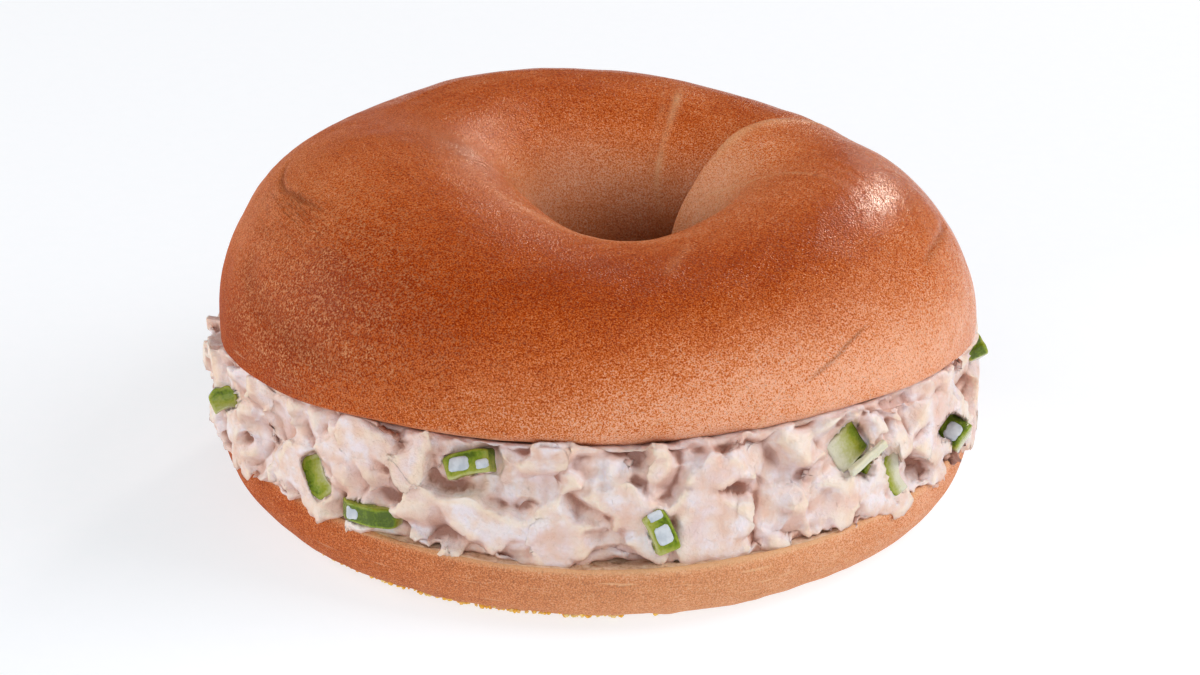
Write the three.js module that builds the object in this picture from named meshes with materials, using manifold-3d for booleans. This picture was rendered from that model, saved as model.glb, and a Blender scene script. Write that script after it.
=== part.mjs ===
// A filled bagel: the upper half, the lower half, a ring of chunky salad between them, and diced celery
// pressed into the salad. Millimetres, +Z up. The table is z = 0, -Y is the side where the halves gape.
import * as THREE from "three";
import { mergeVertices } from "three/addons/utils/BufferGeometryUtils.js";
import Module from "manifold-3d";

const wasm = await Module();
wasm.setup();
const { Manifold, Mesh: SolidMesh } = wasm;

const TURN = 2 * Math.PI;
const degrees = (value) => (value * Math.PI) / 180;

// ---------------------------------------------------------------- driving dimensions

const CLEARANCE = 0.35; // between neighbouring solids
const CORE_CLEARANCE = 2 * CLEARANCE; // between the bread and the salad's smooth core
const RING_STEPS = 64; // facets round each half

// An uneven outline is a circle times 1 + share * cos(lobes * angle - phase), summed over its waves.
const bagel = {
  radius: 57.3, // widest point of the upper half
  holeRadius: 11.3,
  holeX: 4.7, // the hole sits off centre
  holeY: 2.6,
  foldAngle: 30.3, // where the rope of dough was joined, degrees round from +X
  foldHeight: 1.5, // how far the overlapping end stands proud
  foldStep: 2.4, // degrees over which it drops to the other end
  foldRun: 34, // degrees over which it fades back into the ring
  foldReach: [0.38, 0.68], // share of the way from rim to hole where it starts and is at its full height
};

const upper = {
  x: -0.3, // place of the half over the lower one
  y: 0.5,
  z: 27.1, // height of its widest level at the middle
  tilt: 3.6, // the front edge is lifted
  height: 24.5, // widest level up to the top
  skirt: 3.0, // widest level down to the cut
  skirtTurn: 38, // degrees that the crust turns under before the cut
  outerSkirt: [1, 0.6, 0.3], // shares of that turn where the section has points, at the rim
  innerSkirt: [0.5, 1], // and at the hole
  facePoints: [-0.35, 0.35], // across the cut face, as shares of its half width
  outline: [[2, 0.007, 165], [3, 0.028, -62], [4, 0.013, -96]],
  rise: [[1, 0.179, 130], [2, 0.058, 36], [3, 0.055, -67]],
  sag: [[1, 0.146, 75], [2, 0.11, -134], [3, 0.486, 103]],
  innerBend: 2.16, // superellipse exponents: the hole's side is fuller than the rim
  outerBend: 2.0,
};

const lower = {
  x: 0.4,
  y: -0.4,
  radius: 57.2, // at the cut
  baseRadius: 47.9, // flat foot
  height: 12.3,
  footFlare: 5.5, // how much wider the hole is at the table
  flareLevel: 0.45, // share of the height where the hole begins to widen
  flareStart: 0.3, // share of the flare that it has there
  outline: [[2, 0.014, -22], [3, 0.017, 98]],
  slope: [[1, 0.144, 130], [2, 0.049, -39]],
};

const salad = {
  radius: 54.2, // of the core, at mid height
  outline: [[1, 0.012, -90], [2, 0.03, 0]],
  waist: 2.2, // how far the core draws in where it meets the bread
  holeGap: 2.0, // how far the core stays back from the hole
  holeBite: 2.6, // how much further back the lumps round the hole have their middles
  bite: 0.6, // how much deeper the largest lumps sit than their place says
  spread: 2.8, // how far apart lumps lie, in and out
  spreadIn: 0.35, // share of that spread that lies inside the core's rim
  slump: 1.2, // how much further out they lie at the foot than at the top
  backStart: -2, // azimuth where the evenly strewn lumps begin
  backSpan: 190, // and how far round they go
  backLumps: 40,
  holeLumps: 12,
  lumpLength: [7.5, 13],
  lumpWidth: [5.2, 8.2],
  lumpDepth: [3.6, 5.6],
  cornerReach: [0.5, 1], // how far each corner of a lump stands out, of its full size
  lean: 1.6, // radians that lumps lean to and fro, at most
  leanRoom: 1.2, // a lump leans until its length spans this many times the gap
  cornerSpare: 0.85, // corners seldom stand out to the block's full size
  yaw: 0.9, // radians that they turn in and out, at most
};

// Facets along each section.
const steps = { domeArc: 16, footArc: 6, coreSide: 2, coreRing: 36, stalkSkin: 6 };

// The largest lumps, where the halves gape: azimuth, share of the gap's height, how far outside the core's
// rim, length, width, and the degrees that its length leans, anticlockwise seen from outside.
const largest = [
  [-171, 0.7, 0.6, 9, 6, 70],
  [-162, 0.3, 1.4, 7, 5, 20],
  [-152, 0.55, 1.2, 10, 6.5, 80],
  [-142, 0.28, 1.6, 8, 6, 30],
  [-136, 0.8, 0, 10, 6, -15],
  [-126, 0.85, -0.4, 11, 5, -12],
  [-125, 0.52, 1, 10, 7, 0],
  [-116, 0.72, 0, 9, 6.5, 60],
  [-113.5, 0.3, 1.8, 12, 7, 18],
  [-104.5, 0.6, 0.8, 10, 5, -6],
  [-105, 0.22, 1.4, 8.5, 6, 35],
  [-96.5, 0.8, -0.3, 6, 5, 60],
  [-93, 0.62, 0.8, 10, 8.5, 40],
  [-91, 0.26, 2, 11.5, 7.5, 28],
  [-87, 0.85, -0.5, 7, 5, -20],
  [-81, 0.68, 0.8, 8.5, 6, 8],
  [-84, 0.18, 2, 8, 5.5, -62],
  [-74, 0.26, 1.8, 10, 7.5, 15],
  [-74.5, 0.74, 0, 9, 6, -25],
  [-67.5, 0.84, -0.3, 5.5, 4.5, 30],
  [-64.5, 0.5, 1, 12, 6.5, 35],
  [-59, 0.14, 1.8, 7.5, 5, 10],
  [-53, 0.46, 1.4, 7, 4.5, -30],
  [-54.5, 0.2, 1.6, 9.5, 5, 20],
  [-47, 0.86, 0, 8, 4, 20],
  [-37, 0.6, 0.6, 10.5, 6, 78],
  [-30, 0.16, 1.4, 6.5, 4.5, -20],
  [-24, 0.38, 0.8, 8, 6, 60],
  [-20, 0.66, 1, 7, 5, 15],
  [-9, 0.55, 1.4, 8, 6, 70],
];

// Across a celery stalk: bow and rib depth as shares of its width and thickness, then the width and the
// bow of its hollow side as shares of the skin's.
const stalk = { bow: 0.16, ribs: 2, ribDepth: 0.05, hollowWidth: 0.9, hollowBow: 0.8 };

// Diced celery: azimuth round the bagel, share of the gap's height, distance of its middle from the axis,
// width across the stalk, thickness, length along the stalk, then turns about its own three axes.
const diced = [
  { angle: -160, level: 0.52, reach: 57.4, size: [4.2, 3.2, 5.2], turn: [10, 70, 20] },
  { angle: -134, level: 0.295, reach: 54.8, size: [6.6, 3.4, 4.0], turn: [21, 7, 126] },
  { angle: -124.0, level: 0.16, reach: 55.4, size: [9.4, 3.0, 2.9], turn: [84, 4, -3] },
  { angle: -108, level: 0.81, reach: 53.6, size: [7.2, 3.3, 4.0], turn: [-22, 0, 20] },
  { angle: -80.3, level: 0.31, reach: 55.4, size: [6.4, 3.3, 4.2], turn: [-10, -18, -70] },
  { angle: -49.3, level: 0.67, reach: 54.0, size: [5.8, 2.8, 5.2], turn: [76, 2, 27] },
  { angle: -40.4, level: 0.25, reach: 55.0, size: [6.2, 2.6, 4.0], turn: [-10, 18, 99] },
  { angle: -45.8, level: 0.44, reach: 55.0, size: [2.2, 1.6, 2.4], turn: [10, 0, 60] },
  { angle: -21.0, level: 0.22, reach: 57.2, size: [4.6, 3.0, 3.8], turn: [10, -20, 40] },
  { angle: -8, level: 0.84, reach: 57.9, size: [3.6, 2.6, 3.2], turn: [0, 30, 55] },
  { angle: 12, level: 0.37, reach: 56.4, size: [6.2, 3.2, 4.4], turn: [10, 15, 100] },
  { angle: 34, level: 0.6, reach: 55.2, size: [7.2, 3.2, 4.2], turn: [12, 0, -14] },
  { angle: 58, level: 0.5, reach: 54.0, size: [5.4, 3.0, 4.4], turn: [70, 12, 30] },
  { angle: 83, level: 0.55, reach: 53.4, size: [6.4, 3.0, 4.0], turn: [0, 10, 8] },
  { angle: 108, level: 0.47, reach: 53.4, size: [5.0, 2.8, 4.2], turn: [16, 0, 62] },
  { angle: 132, level: 0.56, reach: 54.4, size: [6.8, 3.2, 4.4], turn: [-12, 14, -6] },
  { angle: 156, level: 0.53, reach: 56.0, size: [5.6, 3.2, 4.0], turn: [76, 0, 20] },
  { angle: 171, level: 0.55, reach: 54.4, size: [6.2, 3.2, 4.4], turn: [8, -12, 84] },
  { angle: -48.0, level: 0.6, reach: 57.7, size: [1.3, 0.8, 7.4], turn: [90, 0, -70] },
];

// ---------------------------------------------------------------- small helpers

const wave = (angle, waves) =>
  waves.reduce((sum, [lobes, share, phase]) => sum + share * Math.cos(lobes * angle - degrees(phase)), 0);

const smoothStep = (value) => THREE.MathUtils.smoothstep(value, 0, 1);

const mix = ([low, high], share) => low + (high - low) * share;

// A repeatable number from 0 to 1 for item and salt.
function scatter(item, salt) {
  const value = Math.sin(item * 12.9898 + salt * 78.233) * 43758.5453;
  return value - Math.floor(value);
}

// Places that fill a unit square evenly, the item-th of them.
const evenly = (item) => [(0.5 + item * 0.7548776662) % 1, (0.5 + item * 0.5698402910) % 1];

// A solid of manifold-3d from a three.js geometry.
function toSolid(geometry) {
  const bare = geometry.clone();
  for (const name of ["normal", "uv"]) bare.deleteAttribute(name);
  const merged = mergeVertices(bare, 1e-4);
  return new Manifold(
    new SolidMesh({
      numProp: 3,
      vertProperties: new Float32Array(merged.getAttribute("position").array),
      triVerts: new Uint32Array(merged.index.array),
    }),
  );
}

// A three.js geometry from a solid of manifold-3d.
function toGeometry(solid) {
  const { vertProperties, triVerts } = solid.getMesh();
  const geometry = new THREE.BufferGeometry();
  geometry.setAttribute("position", new THREE.BufferAttribute(vertProperties, 3));
  geometry.setIndex(new THREE.BufferAttribute(triVerts, 1));
  geometry.computeVertexNormals();
  return geometry;
}

// Angles round a ring from -PI to PI: even steps, with more of them where the fold drops.
function ringAngles(count) {
  const angles = Array.from({ length: count }, (_, i) => -Math.PI + (i * TURN) / count);
  const fold = [-0.5, 0, 0.5].map((share) => degrees(bagel.foldAngle + share * bagel.foldStep));
  const clear = angles.filter((angle) => Math.abs(angle - fold[1]) > degrees(bagel.foldStep));
  return [...clear, ...fold].sort((a, b) => a - b);
}

// A closed ring: section(angle) gives the same number of [radius, height] points, anticlockwise with the
// radius to the right and the height up, at each angle round Z.
function ringGeometry(section, ringSteps = RING_STEPS) {
  const positions = [];
  const index = [];
  const angles = ringAngles(ringSteps);
  const around = angles.length;
  let count = 0;
  for (let i = 0; i < around; i++) {
    const angle = angles[i];
    const points = section(angle);
    count = points.length;
    for (const [r, z] of points) positions.push(r * Math.cos(angle), r * Math.sin(angle), z);
  }
  for (let i = 0; i < around; i++) {
    for (let j = 0; j < count; j++) {
      const a = i * count + j;
      const b = i * count + ((j + 1) % count);
      const c = ((i + 1) % around) * count + j;
      const d = ((i + 1) % around) * count + ((j + 1) % count);
      index.push(a, c, b, b, c, d);
    }
  }
  const geometry = new THREE.BufferGeometry();
  geometry.setAttribute("position", new THREE.Float32BufferAttribute(positions, 3));
  geometry.setIndex(index);
  geometry.computeVertexNormals();
  return geometry;
}

// ---------------------------------------------------------------- outlines that the halves share

// The hole's radius seen from the axis.
function holeRadius(angle) {
  const across = bagel.holeX * Math.sin(angle) - bagel.holeY * Math.cos(angle);
  const along = bagel.holeX * Math.cos(angle) + bagel.holeY * Math.sin(angle);
  return along + Math.sqrt(bagel.holeRadius ** 2 - across ** 2);
}

// How far the joined end stands proud at an angle, and at swing, the turn round the dough's own section
// from the outer rim (0) over the top to the hole (PI).
function foldRelief(angle, swing) {
  const past = (angle * 180) / Math.PI - bagel.foldAngle;
  const step = smoothStep(0.5 - past / bagel.foldStep) * smoothStep(1 + past / bagel.foldRun);
  const [start, full] = bagel.foldReach;
  return bagel.foldHeight * step * smoothStep((swing / Math.PI - start) / (full - start));
}

const upperRadius = (angle) => bagel.radius * (1 + wave(angle, upper.outline));
const upperRise = (angle) => upper.height * (1 + wave(angle, upper.rise));
const upperSkirt = (angle) => upper.skirt * (1 + wave(angle, upper.sag));
const lowerRadius = (angle) => lower.radius * (1 + wave(angle, lower.outline));
const lowerTop = (angle) => lower.height * (1 + wave(angle, lower.slope));
const saladRadius = (angle) => salad.radius * (1 + wave(angle, salad.outline));

// Height of the upper half's cut face over the table, at an angle and radius.
function ceiling(angle, r) {
  const lift = Math.tan(degrees(upper.tilt)) * (upper.y - r * Math.sin(angle));
  return upper.z - upperSkirt(angle) + lift;
}

// The matrix that sets a piece at an angle, radius and height, with its own Y up and its Z outwards.
function outwardMatrix(angle, r, height) {
  const outward = new THREE.Vector3(Math.cos(angle), Math.sin(angle), 0);
  const up = new THREE.Vector3(0, 0, 1);
  const along = new THREE.Vector3().crossVectors(up, outward);
  return new THREE.Matrix4().makeBasis(along, up, outward).setPosition(r * outward.x, r * outward.y, height);
}

// ---------------------------------------------------------------- bagel halves

// Section of the upper half: skirt, rim, top, hole and cut face. grow moves it outwards by that much.
function upperSection(angle, grow = 0) {
  const outer = upperRadius(angle) + grow;
  const inner = holeRadius(angle) - grow;
  const middle = (outer + inner) / 2;
  const half = (outer - inner) / 2;
  const rise = upperRise(angle) + grow;
  const drop = upperSkirt(angle) + grow;
  const turn = degrees(upper.skirtTurn);
  const points = [];
  for (const share of upper.outerSkirt) {
    const under = turn * share;
    points.push([middle + half * Math.cos(under), (-drop * Math.sin(under)) / Math.sin(turn)]);
  }
  for (let i = 0; i <= steps.domeArc; i++) {
    const swing = (Math.PI * i) / steps.domeArc;
    const bend = swing < Math.PI / 2 ? upper.outerBend : upper.innerBend;
    const across = Math.sign(Math.cos(swing)) * Math.abs(Math.cos(swing)) ** (2 / bend);
    const proud = foldRelief(angle, swing);
    const level = rise * Math.sin(swing) ** (2 / bend);
    points.push([middle + half * across + proud * Math.cos(swing), level + proud * Math.sin(swing)]);
  }
  for (const share of upper.innerSkirt) {
    const under = turn * share;
    const proud = foldRelief(angle, Math.PI);
    points.push([middle - half * Math.cos(under) - proud, (-drop * Math.sin(under)) / Math.sin(turn)]);
  }
  const edge = half * Math.cos(turn);
  for (const share of upper.facePoints) points.push([middle + edge * share, -drop]);
  return points;
}

// Section of the lower half: flat foot, round side, cut face and hole.
function lowerSection(angle, grow = 0) {
  const rim = lowerRadius(angle) + grow;
  const foot = (lower.baseRadius / lower.radius) * (rim - grow) + grow;
  const top = lowerTop(angle) + grow;
  const base = -grow;
  const inner = holeRadius(angle) - grow;
  const points = [];
  for (let i = 0; i <= steps.footArc; i++) {
    const swing = (Math.PI / 2) * (i / steps.footArc);
    points.push([foot + (rim - foot) * Math.sin(swing), base + (top - base) * (1 - Math.cos(swing))]);
  }
  points.push([(inner + rim) / 2, top]);
  points.push([inner, top]);
  points.push([inner + lower.footFlare * lower.flareStart, base + (top - base) * lower.flareLevel]);
  points.push([inner + lower.footFlare, base]);
  return points;
}

const placeUpper = new THREE.Matrix4()
  .makeRotationX(degrees(-upper.tilt))
  .setPosition(upper.x, upper.y, upper.z);
const placeLower = new THREE.Matrix4().makeTranslation(lower.x, lower.y, 0);

// ---------------------------------------------------------------- celery

// Across the stalk: a ribbed outer skin, two cut sides and a hollow inner face.
function stalkOutline(width, thickness) {
  const bow = stalk.bow * width;
  const skin = [];
  const hollow = [];
  for (let i = 0; i <= steps.stalkSkin; i++) {
    const share = i / steps.stalkSkin;
    const across = (share - 0.5) * width;
    const arch = bow * (1 - (2 * share - 1) ** 2);
    const rib = stalk.ribDepth * thickness * Math.cos(TURN * stalk.ribs * share);
    skin.push(new THREE.Vector2(across, arch - rib + thickness / 2 - bow / 2));
    const inside = arch * stalk.hollowBow - thickness / 2 - bow / 2;
    if (i % 2 === 0) hollow.push(new THREE.Vector2(across * stalk.hollowWidth, inside));
  }
  return new THREE.Shape([...skin.reverse(), ...hollow]);
}

function celeryGeometry([width, thickness, length], grow = 0) {
  const shape = stalkOutline(width + 2 * grow, thickness + 2 * grow);
  const depth = length + 2 * grow;
  const geometry = new THREE.ExtrudeGeometry(shape, { depth, bevelEnabled: false, steps: 1 });
  return geometry.translate(0, 0, -depth / 2);
}

// The matrix that sets a piece of celery into the salad, after turns about its own axes.
function beltMatrix({ angle, level, reach, turn }) {
  const around = degrees(angle);
  const floor = lowerTop(around);
  const height = floor + level * (ceiling(around, reach) - floor);
  const turned = new THREE.Matrix4().makeRotationFromEuler(new THREE.Euler(...turn.map(degrees), "ZXY"));
  return outwardMatrix(around, reach, height).multiply(turned);
}

// ---------------------------------------------------------------- salad

// The lowest and highest level of the gap at an angle and radius, less what is kept clear.
const gapHeights = (angle, r, spare) => [lowerTop(angle) + spare, ceiling(angle, r) - spare];

// The core: a ring that fills the gap between the halves and draws in where it meets them.
function coreSection(angle) {
  const outer = saladRadius(angle);
  const inner = holeRadius(angle) + salad.holeGap;
  const points = [];
  for (let i = 0; i <= steps.coreSide; i++) {
    const share = i / steps.coreSide;
    const r = outer - salad.waist * (2 * share - 1) ** 2;
    const [low, high] = gapHeights(angle, r, CORE_CLEARANCE);
    points.push([r, low + (high - low) * share]);
  }
  for (let i = steps.coreSide; i >= 0; i--) {
    const share = i / steps.coreSide;
    const r = inner + 0.5 * salad.waist * (2 * share - 1) ** 2;
    const [low, high] = gapHeights(angle, r, CORE_CLEARANCE);
    points.push([r, low + (high - low) * share]);
  }
  return points;
}

// A lump of meat: a block with uneven corners, leaning, that keeps within the gap at its place.
function lumpGeometry(item, angle, r, share, length, fullWidth, fullLean) {
  const block = new THREE.BoxGeometry(2, 2, 2).deleteAttribute("normal").deleteAttribute("uv");
  const geometry = mergeVertices(block);
  const position = geometry.getAttribute("position");
  for (let i = 0; i < position.count; i++) {
    const swell = mix(salad.cornerReach, scatter(item * 8 + i, 1));
    position.setXYZ(i, position.getX(i) * swell, position.getY(i) * swell, position.getZ(i) * swell);
  }
  const [low, high] = gapHeights(angle, r, CORE_CLEARANCE);
  const room = high - low;
  const width = Math.min(fullWidth, room);
  const depth = mix(salad.lumpDepth, scatter(item, 4));
  const steepest = Math.asin(Math.min(1, (salad.leanRoom * room) / length));
  const lean = THREE.MathUtils.clamp(fullLean, -steepest, steepest);
  const reach = 0.5 * Math.hypot(width * Math.cos(lean), length * Math.sin(lean));
  const spare = salad.cornerSpare * reach;
  const middle = (low + high) / 2;
  const swing = Math.max(0, room / 2 - spare);
  const height = THREE.MathUtils.clamp(low + room * share, middle - swing, middle + swing);
  geometry.scale(length / 2, width / 2, depth / 2);
  geometry.rotateY((scatter(item, 6) - 0.5) * salad.yaw);
  geometry.rotateZ(lean);
  return geometry.applyMatrix4(outwardMatrix(angle, r, height));
}

// The salad: core and lumps in one, cut back from the bread and from every piece of celery.
function saladSolid(pockets) {
  const solids = [toSolid(ringGeometry(coreSection, steps.coreRing))];
  largest.forEach(([azimuth, share, out, length, width, lean], i) => {
    const angle = degrees(azimuth);
    const r = saladRadius(angle) + out - salad.bite;
    solids.push(toSolid(lumpGeometry(i, angle, r, share, length, width, degrees(lean))));
  });
  for (let i = 0; i < salad.backLumps + salad.holeLumps; i++) {
    const item = largest.length + i;
    const back = i < salad.backLumps;
    const [turn, share] = evenly(item);
    const angle = back ? degrees(salad.backStart + turn * salad.backSpan) : turn * TURN;
    const out = salad.spread * (scatter(item, 7) - salad.spreadIn) + salad.slump * (0.5 - share);
    const holeEdge = holeRadius(angle) + salad.holeGap + salad.holeBite;
    const r = back ? saladRadius(angle) + out : holeEdge;
    const length = mix(salad.lumpLength, scatter(item, 2));
    const width = mix(salad.lumpWidth, scatter(item, 3));
    const lean = (scatter(item, 5) - 0.5) * salad.lean;
    solids.push(toSolid(lumpGeometry(item, angle, r, share, length, width, lean)));
  }
  const cutSteps = RING_STEPS / 2;
  const spare = CLEARANCE + bagel.radius * (1 - Math.cos(Math.PI / cutSteps)); // the facets' own sag
  const bread = [
    toSolid(ringGeometry((angle) => upperSection(angle, spare), cutSteps).applyMatrix4(placeUpper)),
    toSolid(ringGeometry((angle) => lowerSection(angle, spare), cutSteps).applyMatrix4(placeLower)),
  ];
  const whole = Manifold.union(solids).subtract(Manifold.union([...bread, ...pockets]));
  const bodies = whole.decompose().sort((a, b) => b.volume() - a.volume());
  return bodies[0];
}

// ---------------------------------------------------------------- materials and assembly

const paint = (color, roughness) => new THREE.MeshStandardMaterial({ color, roughness, metalness: 0 });
const crust = paint(0xb5642f, 0.42);
const crumb = paint(0xc07a45, 0.55);
const dressing = paint(0xe3d2c8, 0.4);
const green = paint(0x7f9f34, 0.35);

const model = new THREE.Group();

function add(name, geometry, material) {
  const mesh = new THREE.Mesh(geometry, material);
  mesh.name = name;
  model.add(mesh);
  return mesh;
}

add("bagel_top", ringGeometry(upperSection), crust).applyMatrix4(placeUpper);
add("bagel_bottom", ringGeometry(lowerSection), crumb).applyMatrix4(placeLower);

const pockets = [];
diced.forEach((piece, i) => {
  const place = beltMatrix(piece);
  add(`celery_${String(i + 1).padStart(2, "0")}`, celeryGeometry(piece.size), green).applyMatrix4(place);
  pockets.push(toSolid(celeryGeometry(piece.size, CLEARANCE).applyMatrix4(place)));
});

add("salad_filling", toGeometry(saladSolid(pockets)), dressing);

// The origin is the middle of the footprint, on the table.
const middle = new THREE.Box3().setFromObject(model, true).getCenter(new THREE.Vector3());
model.position.set(-middle.x, -middle.y, 0);

export default model;
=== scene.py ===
# A filled bagel: two crusty halves, chunky chicken salad, diced celery, cornmeal under the foot. Shapes are
# worked out in millimetres in the bagel's own frame, then put in metres where the frame's nodes are.
from functools import partial
import bpy
import numpy as np
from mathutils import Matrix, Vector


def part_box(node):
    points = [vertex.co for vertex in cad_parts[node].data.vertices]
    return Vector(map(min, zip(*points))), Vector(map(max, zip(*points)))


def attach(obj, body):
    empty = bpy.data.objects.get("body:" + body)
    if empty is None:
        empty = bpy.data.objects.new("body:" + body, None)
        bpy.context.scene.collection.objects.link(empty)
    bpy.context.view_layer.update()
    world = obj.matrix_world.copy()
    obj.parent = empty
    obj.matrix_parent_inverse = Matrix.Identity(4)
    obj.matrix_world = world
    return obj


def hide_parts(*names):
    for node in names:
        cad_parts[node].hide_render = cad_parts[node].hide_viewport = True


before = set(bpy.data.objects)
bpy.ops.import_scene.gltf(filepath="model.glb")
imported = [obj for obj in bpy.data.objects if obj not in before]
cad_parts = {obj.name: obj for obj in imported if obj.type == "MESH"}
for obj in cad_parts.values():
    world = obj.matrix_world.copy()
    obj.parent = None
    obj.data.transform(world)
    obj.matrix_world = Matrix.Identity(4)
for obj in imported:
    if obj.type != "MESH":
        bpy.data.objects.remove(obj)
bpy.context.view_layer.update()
mm = 0.001
turnRound = 2 * np.pi


def smoothStep(value):
    held = np.clip(value, 0, 1)
    return held * held * (3 - 2 * held)


def ramp(value, start, run):  # 0 up to start, then smoothly to 1 over run
    return smoothStep((value - start) / run)


def mix(low, high, share):
    return low + (high - low) * share


def bump(value, width):
    return np.exp(-((value / width) ** 2))


def crest(distance, amount, ahead, width):  # a bump that stands ahead of where the distance is 0
    return amount * bump(distance + ahead, width)


def wave(angle, waves):  # sum of share * cos(lobes * angle - phase)
    return sum(share * np.cos(lobes * angle - np.radians(phase)) for lobes, share, phase in waves)


def scatter(item, salt):  # the same repeatable 0..1 numbers that set out the salad's lumps
    value = np.sin(item * 12.9898 + salt * 78.233) * 43758.5453
    return value - np.floor(value)


def evenly(item):  # numbered points spread evenly over a square from 0 to 1
    return (0.5 + item * 0.7548776662) % 1, (0.5 + item * 0.5698402910) % 1


def cubeNumber(cube, salt):
    # a repeatable number from 0 to 1 for each whole-numbered cube
    code = cube[..., 0] * 73856093 ^ cube[..., 1] * 19349663 ^ cube[..., 2] * 83492791 ^ salt * 2654435
    code = (code ^ code >> 13) * 1274126177 & 0xFFFFFFFF
    code = (code ^ code >> 16) * 668265263 & 0xFFFFFFFF
    return code / 0xFFFFFFFF


def latticeNoise(places, cell, salt):
    # random heights from -1 to 1 at the corners of cubes of side cell, blended by a smooth step between them
    scaled = places / cell + salt * 17.31
    base = np.floor(scaled)
    share = scaled - base
    share = share ** 3 * (share * (share * 6 - 15) + 10)
    base = base.astype(np.int64)
    total = np.zeros(places.shape[:-1])
    for corner in range(8):
        step = np.array([corner & 1, corner >> 1 & 1, corner >> 2 & 1])
        weight = np.prod(np.where(step, share, 1 - share), axis=-1)
        total += weight * (2 * cubeNumber(base + step, salt) - 1)
    return total


def roughness(places, cell, salt, octaves=3):
    # lattice noise added up, each layer half as coarse and half as high as the one before
    return sum(latticeNoise(places, cell / 2 ** k, salt + 7 * k) / 2 ** k for k in range(octaves))


def brokenPlanes(places, salt, cell, level, tilt, crisp, cleft):
    # every cube of side cell holds one point with a plane of its own, from level mm low to twice that high,
    # few of them high, and rising by tilt mm over one cell; a place takes the planes of the nearest points,
    # each weighed by exp(-crisp * distance squared), so the surface breaks into tilted flats; between two of
    # them it is cut in by cleft mm * (second weight / first weight) ** 0.7
    scaled = places / cell + salt * 5.13
    base = np.floor(scaled).astype(np.int64)
    total, weights = np.zeros(len(places)), np.full(len(places), 1e-9)
    first, second = np.full(len(places), 1e-9), np.zeros(len(places))
    for corner in range(27):
        cube = base + (corner % 3 - 1, corner // 3 % 3 - 1, corner // 9 - 1)
        gap = scaled - cube - np.stack([cubeNumber(cube, salt + k) for k in (1, 2, 3)], -1)
        slope = np.stack([cubeNumber(cube, salt + k) for k in (4, 5, 6)], -1) * 2 - 1
        weight = np.exp(-crisp * (gap ** 2).sum(-1))
        total += weight * (level * (3 * cubeNumber(cube, salt) ** 2 - 1) + tilt * (gap * slope).sum(-1))
        weights += weight
        second = np.maximum(second, np.minimum(first, weight))
        first = np.maximum(first, weight)
    return total / weights - cleft * (second / first) ** 0.7


def meshPiece(name, points, quads, triangles=None):
    # points in mm become one mesh in metres; faces are rows of vertex numbers, anticlockwise from outside
    corners = quads.ravel()
    starts = np.arange(0, quads.size, 4)
    if triangles is not None:
        starts = np.concatenate([starts, quads.size + np.arange(0, triangles.size, 3)])
        corners = np.concatenate([corners, triangles.ravel()])
    mesh = bpy.data.meshes.new(name)
    mesh.vertices.add(len(points))
    mesh.vertices.foreach_set("co", (points * mm).astype(np.float32).ravel())
    mesh.loops.add(len(corners))
    mesh.loops.foreach_set("vertex_index", corners.astype(np.int32))
    mesh.polygons.add(len(starts))
    mesh.polygons.foreach_set("loop_start", starts.astype(np.int32))
    mesh.update(calc_edges=True)
    mesh.validate()
    mesh.polygons.foreach_set("use_smooth", np.ones(len(starts), bool))
    piece = bpy.data.objects.new(name, mesh)
    bpy.context.scene.collection.objects.link(piece)
    return piece


def ringFaces(around, along):
    # a grid closed both ways: column i round the bagel, row j round its section
    i, j = np.meshgrid(np.arange(around), np.arange(along), indexing="ij")
    nextI, nextJ = (i + 1) % around, (j + 1) % along
    quads = np.stack([i * along + j, nextI * along + j, nextI * along + nextJ, i * along + nextJ], -1)
    return quads.reshape(-1, 4)


def shellFaces(rings, around, copies=1):
    # rings between two poles: vertex 0 is one pole, the last vertex the other; repeated for each copy
    k, m = np.meshgrid(np.arange(rings - 1), np.arange(around), indexing="ij")
    nextM = (m + 1) % around
    here, above = k * around, (k + 1) * around
    quads = 1 + np.stack([here + m, here + nextM, above + nextM, above + m], -1)
    m = np.arange(around)
    nextM = (m + 1) % around
    last = rings * around + 1
    edge = 1 + (rings - 1) * around
    low = np.stack([0 * m, 1 + nextM, 1 + m], -1)
    high = np.stack([last + 0 * m, edge + m, edge + nextM], -1)
    start = np.arange(copies)[:, None, None] * (last + 1)
    quads = (quads.reshape(1, -1, 4) + start).reshape(-1, 4)
    triangles = (np.concatenate([low, high])[None] + start).reshape(-1, 3)
    return quads, triangles


def unit(vectors):
    return vectors / np.maximum(np.linalg.norm(vectors, axis=-1, keepdims=True), 1e-9)


def polar(r, angle, z):
    return np.stack([r * np.cos(angle), r * np.sin(angle), z], -1)


def raiseGrid(grid, height):
    # out by height along the normals, which are the cross products of the grid's two directions; the grid
    # closes round the bagel, where its last column repeats the first
    column = grid[:-1]
    normal = unit(np.cross(np.roll(column, -1, 0) - np.roll(column, 1, 0), np.gradient(column, axis=1)))
    return grid + np.concatenate([normal, normal[:1]]) * height[..., None]


def putAttribute(piece, name, values):
    layer = piece.data.attributes.new(name, "FLOAT", "POINT")
    layer.data.foreach_set("value", np.ascontiguousarray(values, np.float32).ravel())


def finishPiece(piece, slot, nodes, *materials):
    for material in materials:
        piece.data.materials.append(material)
    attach(piece, "root")
    if nodes:
        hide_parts(*nodes)
    print("made", piece.name, len(piece.data.polygons), "faces")


def linearColour(code):  # "#rrggbb" as sRGB to linear RGBA
    part = np.array([int(code[i:i + 2], 16) for i in (1, 3, 5)]) / 255
    linear = np.where(part <= 0.04045, part / 12.92, ((part + 0.055) / 1.055) ** 2.4)
    return (*linear.tolist(), 1.0)


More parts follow.
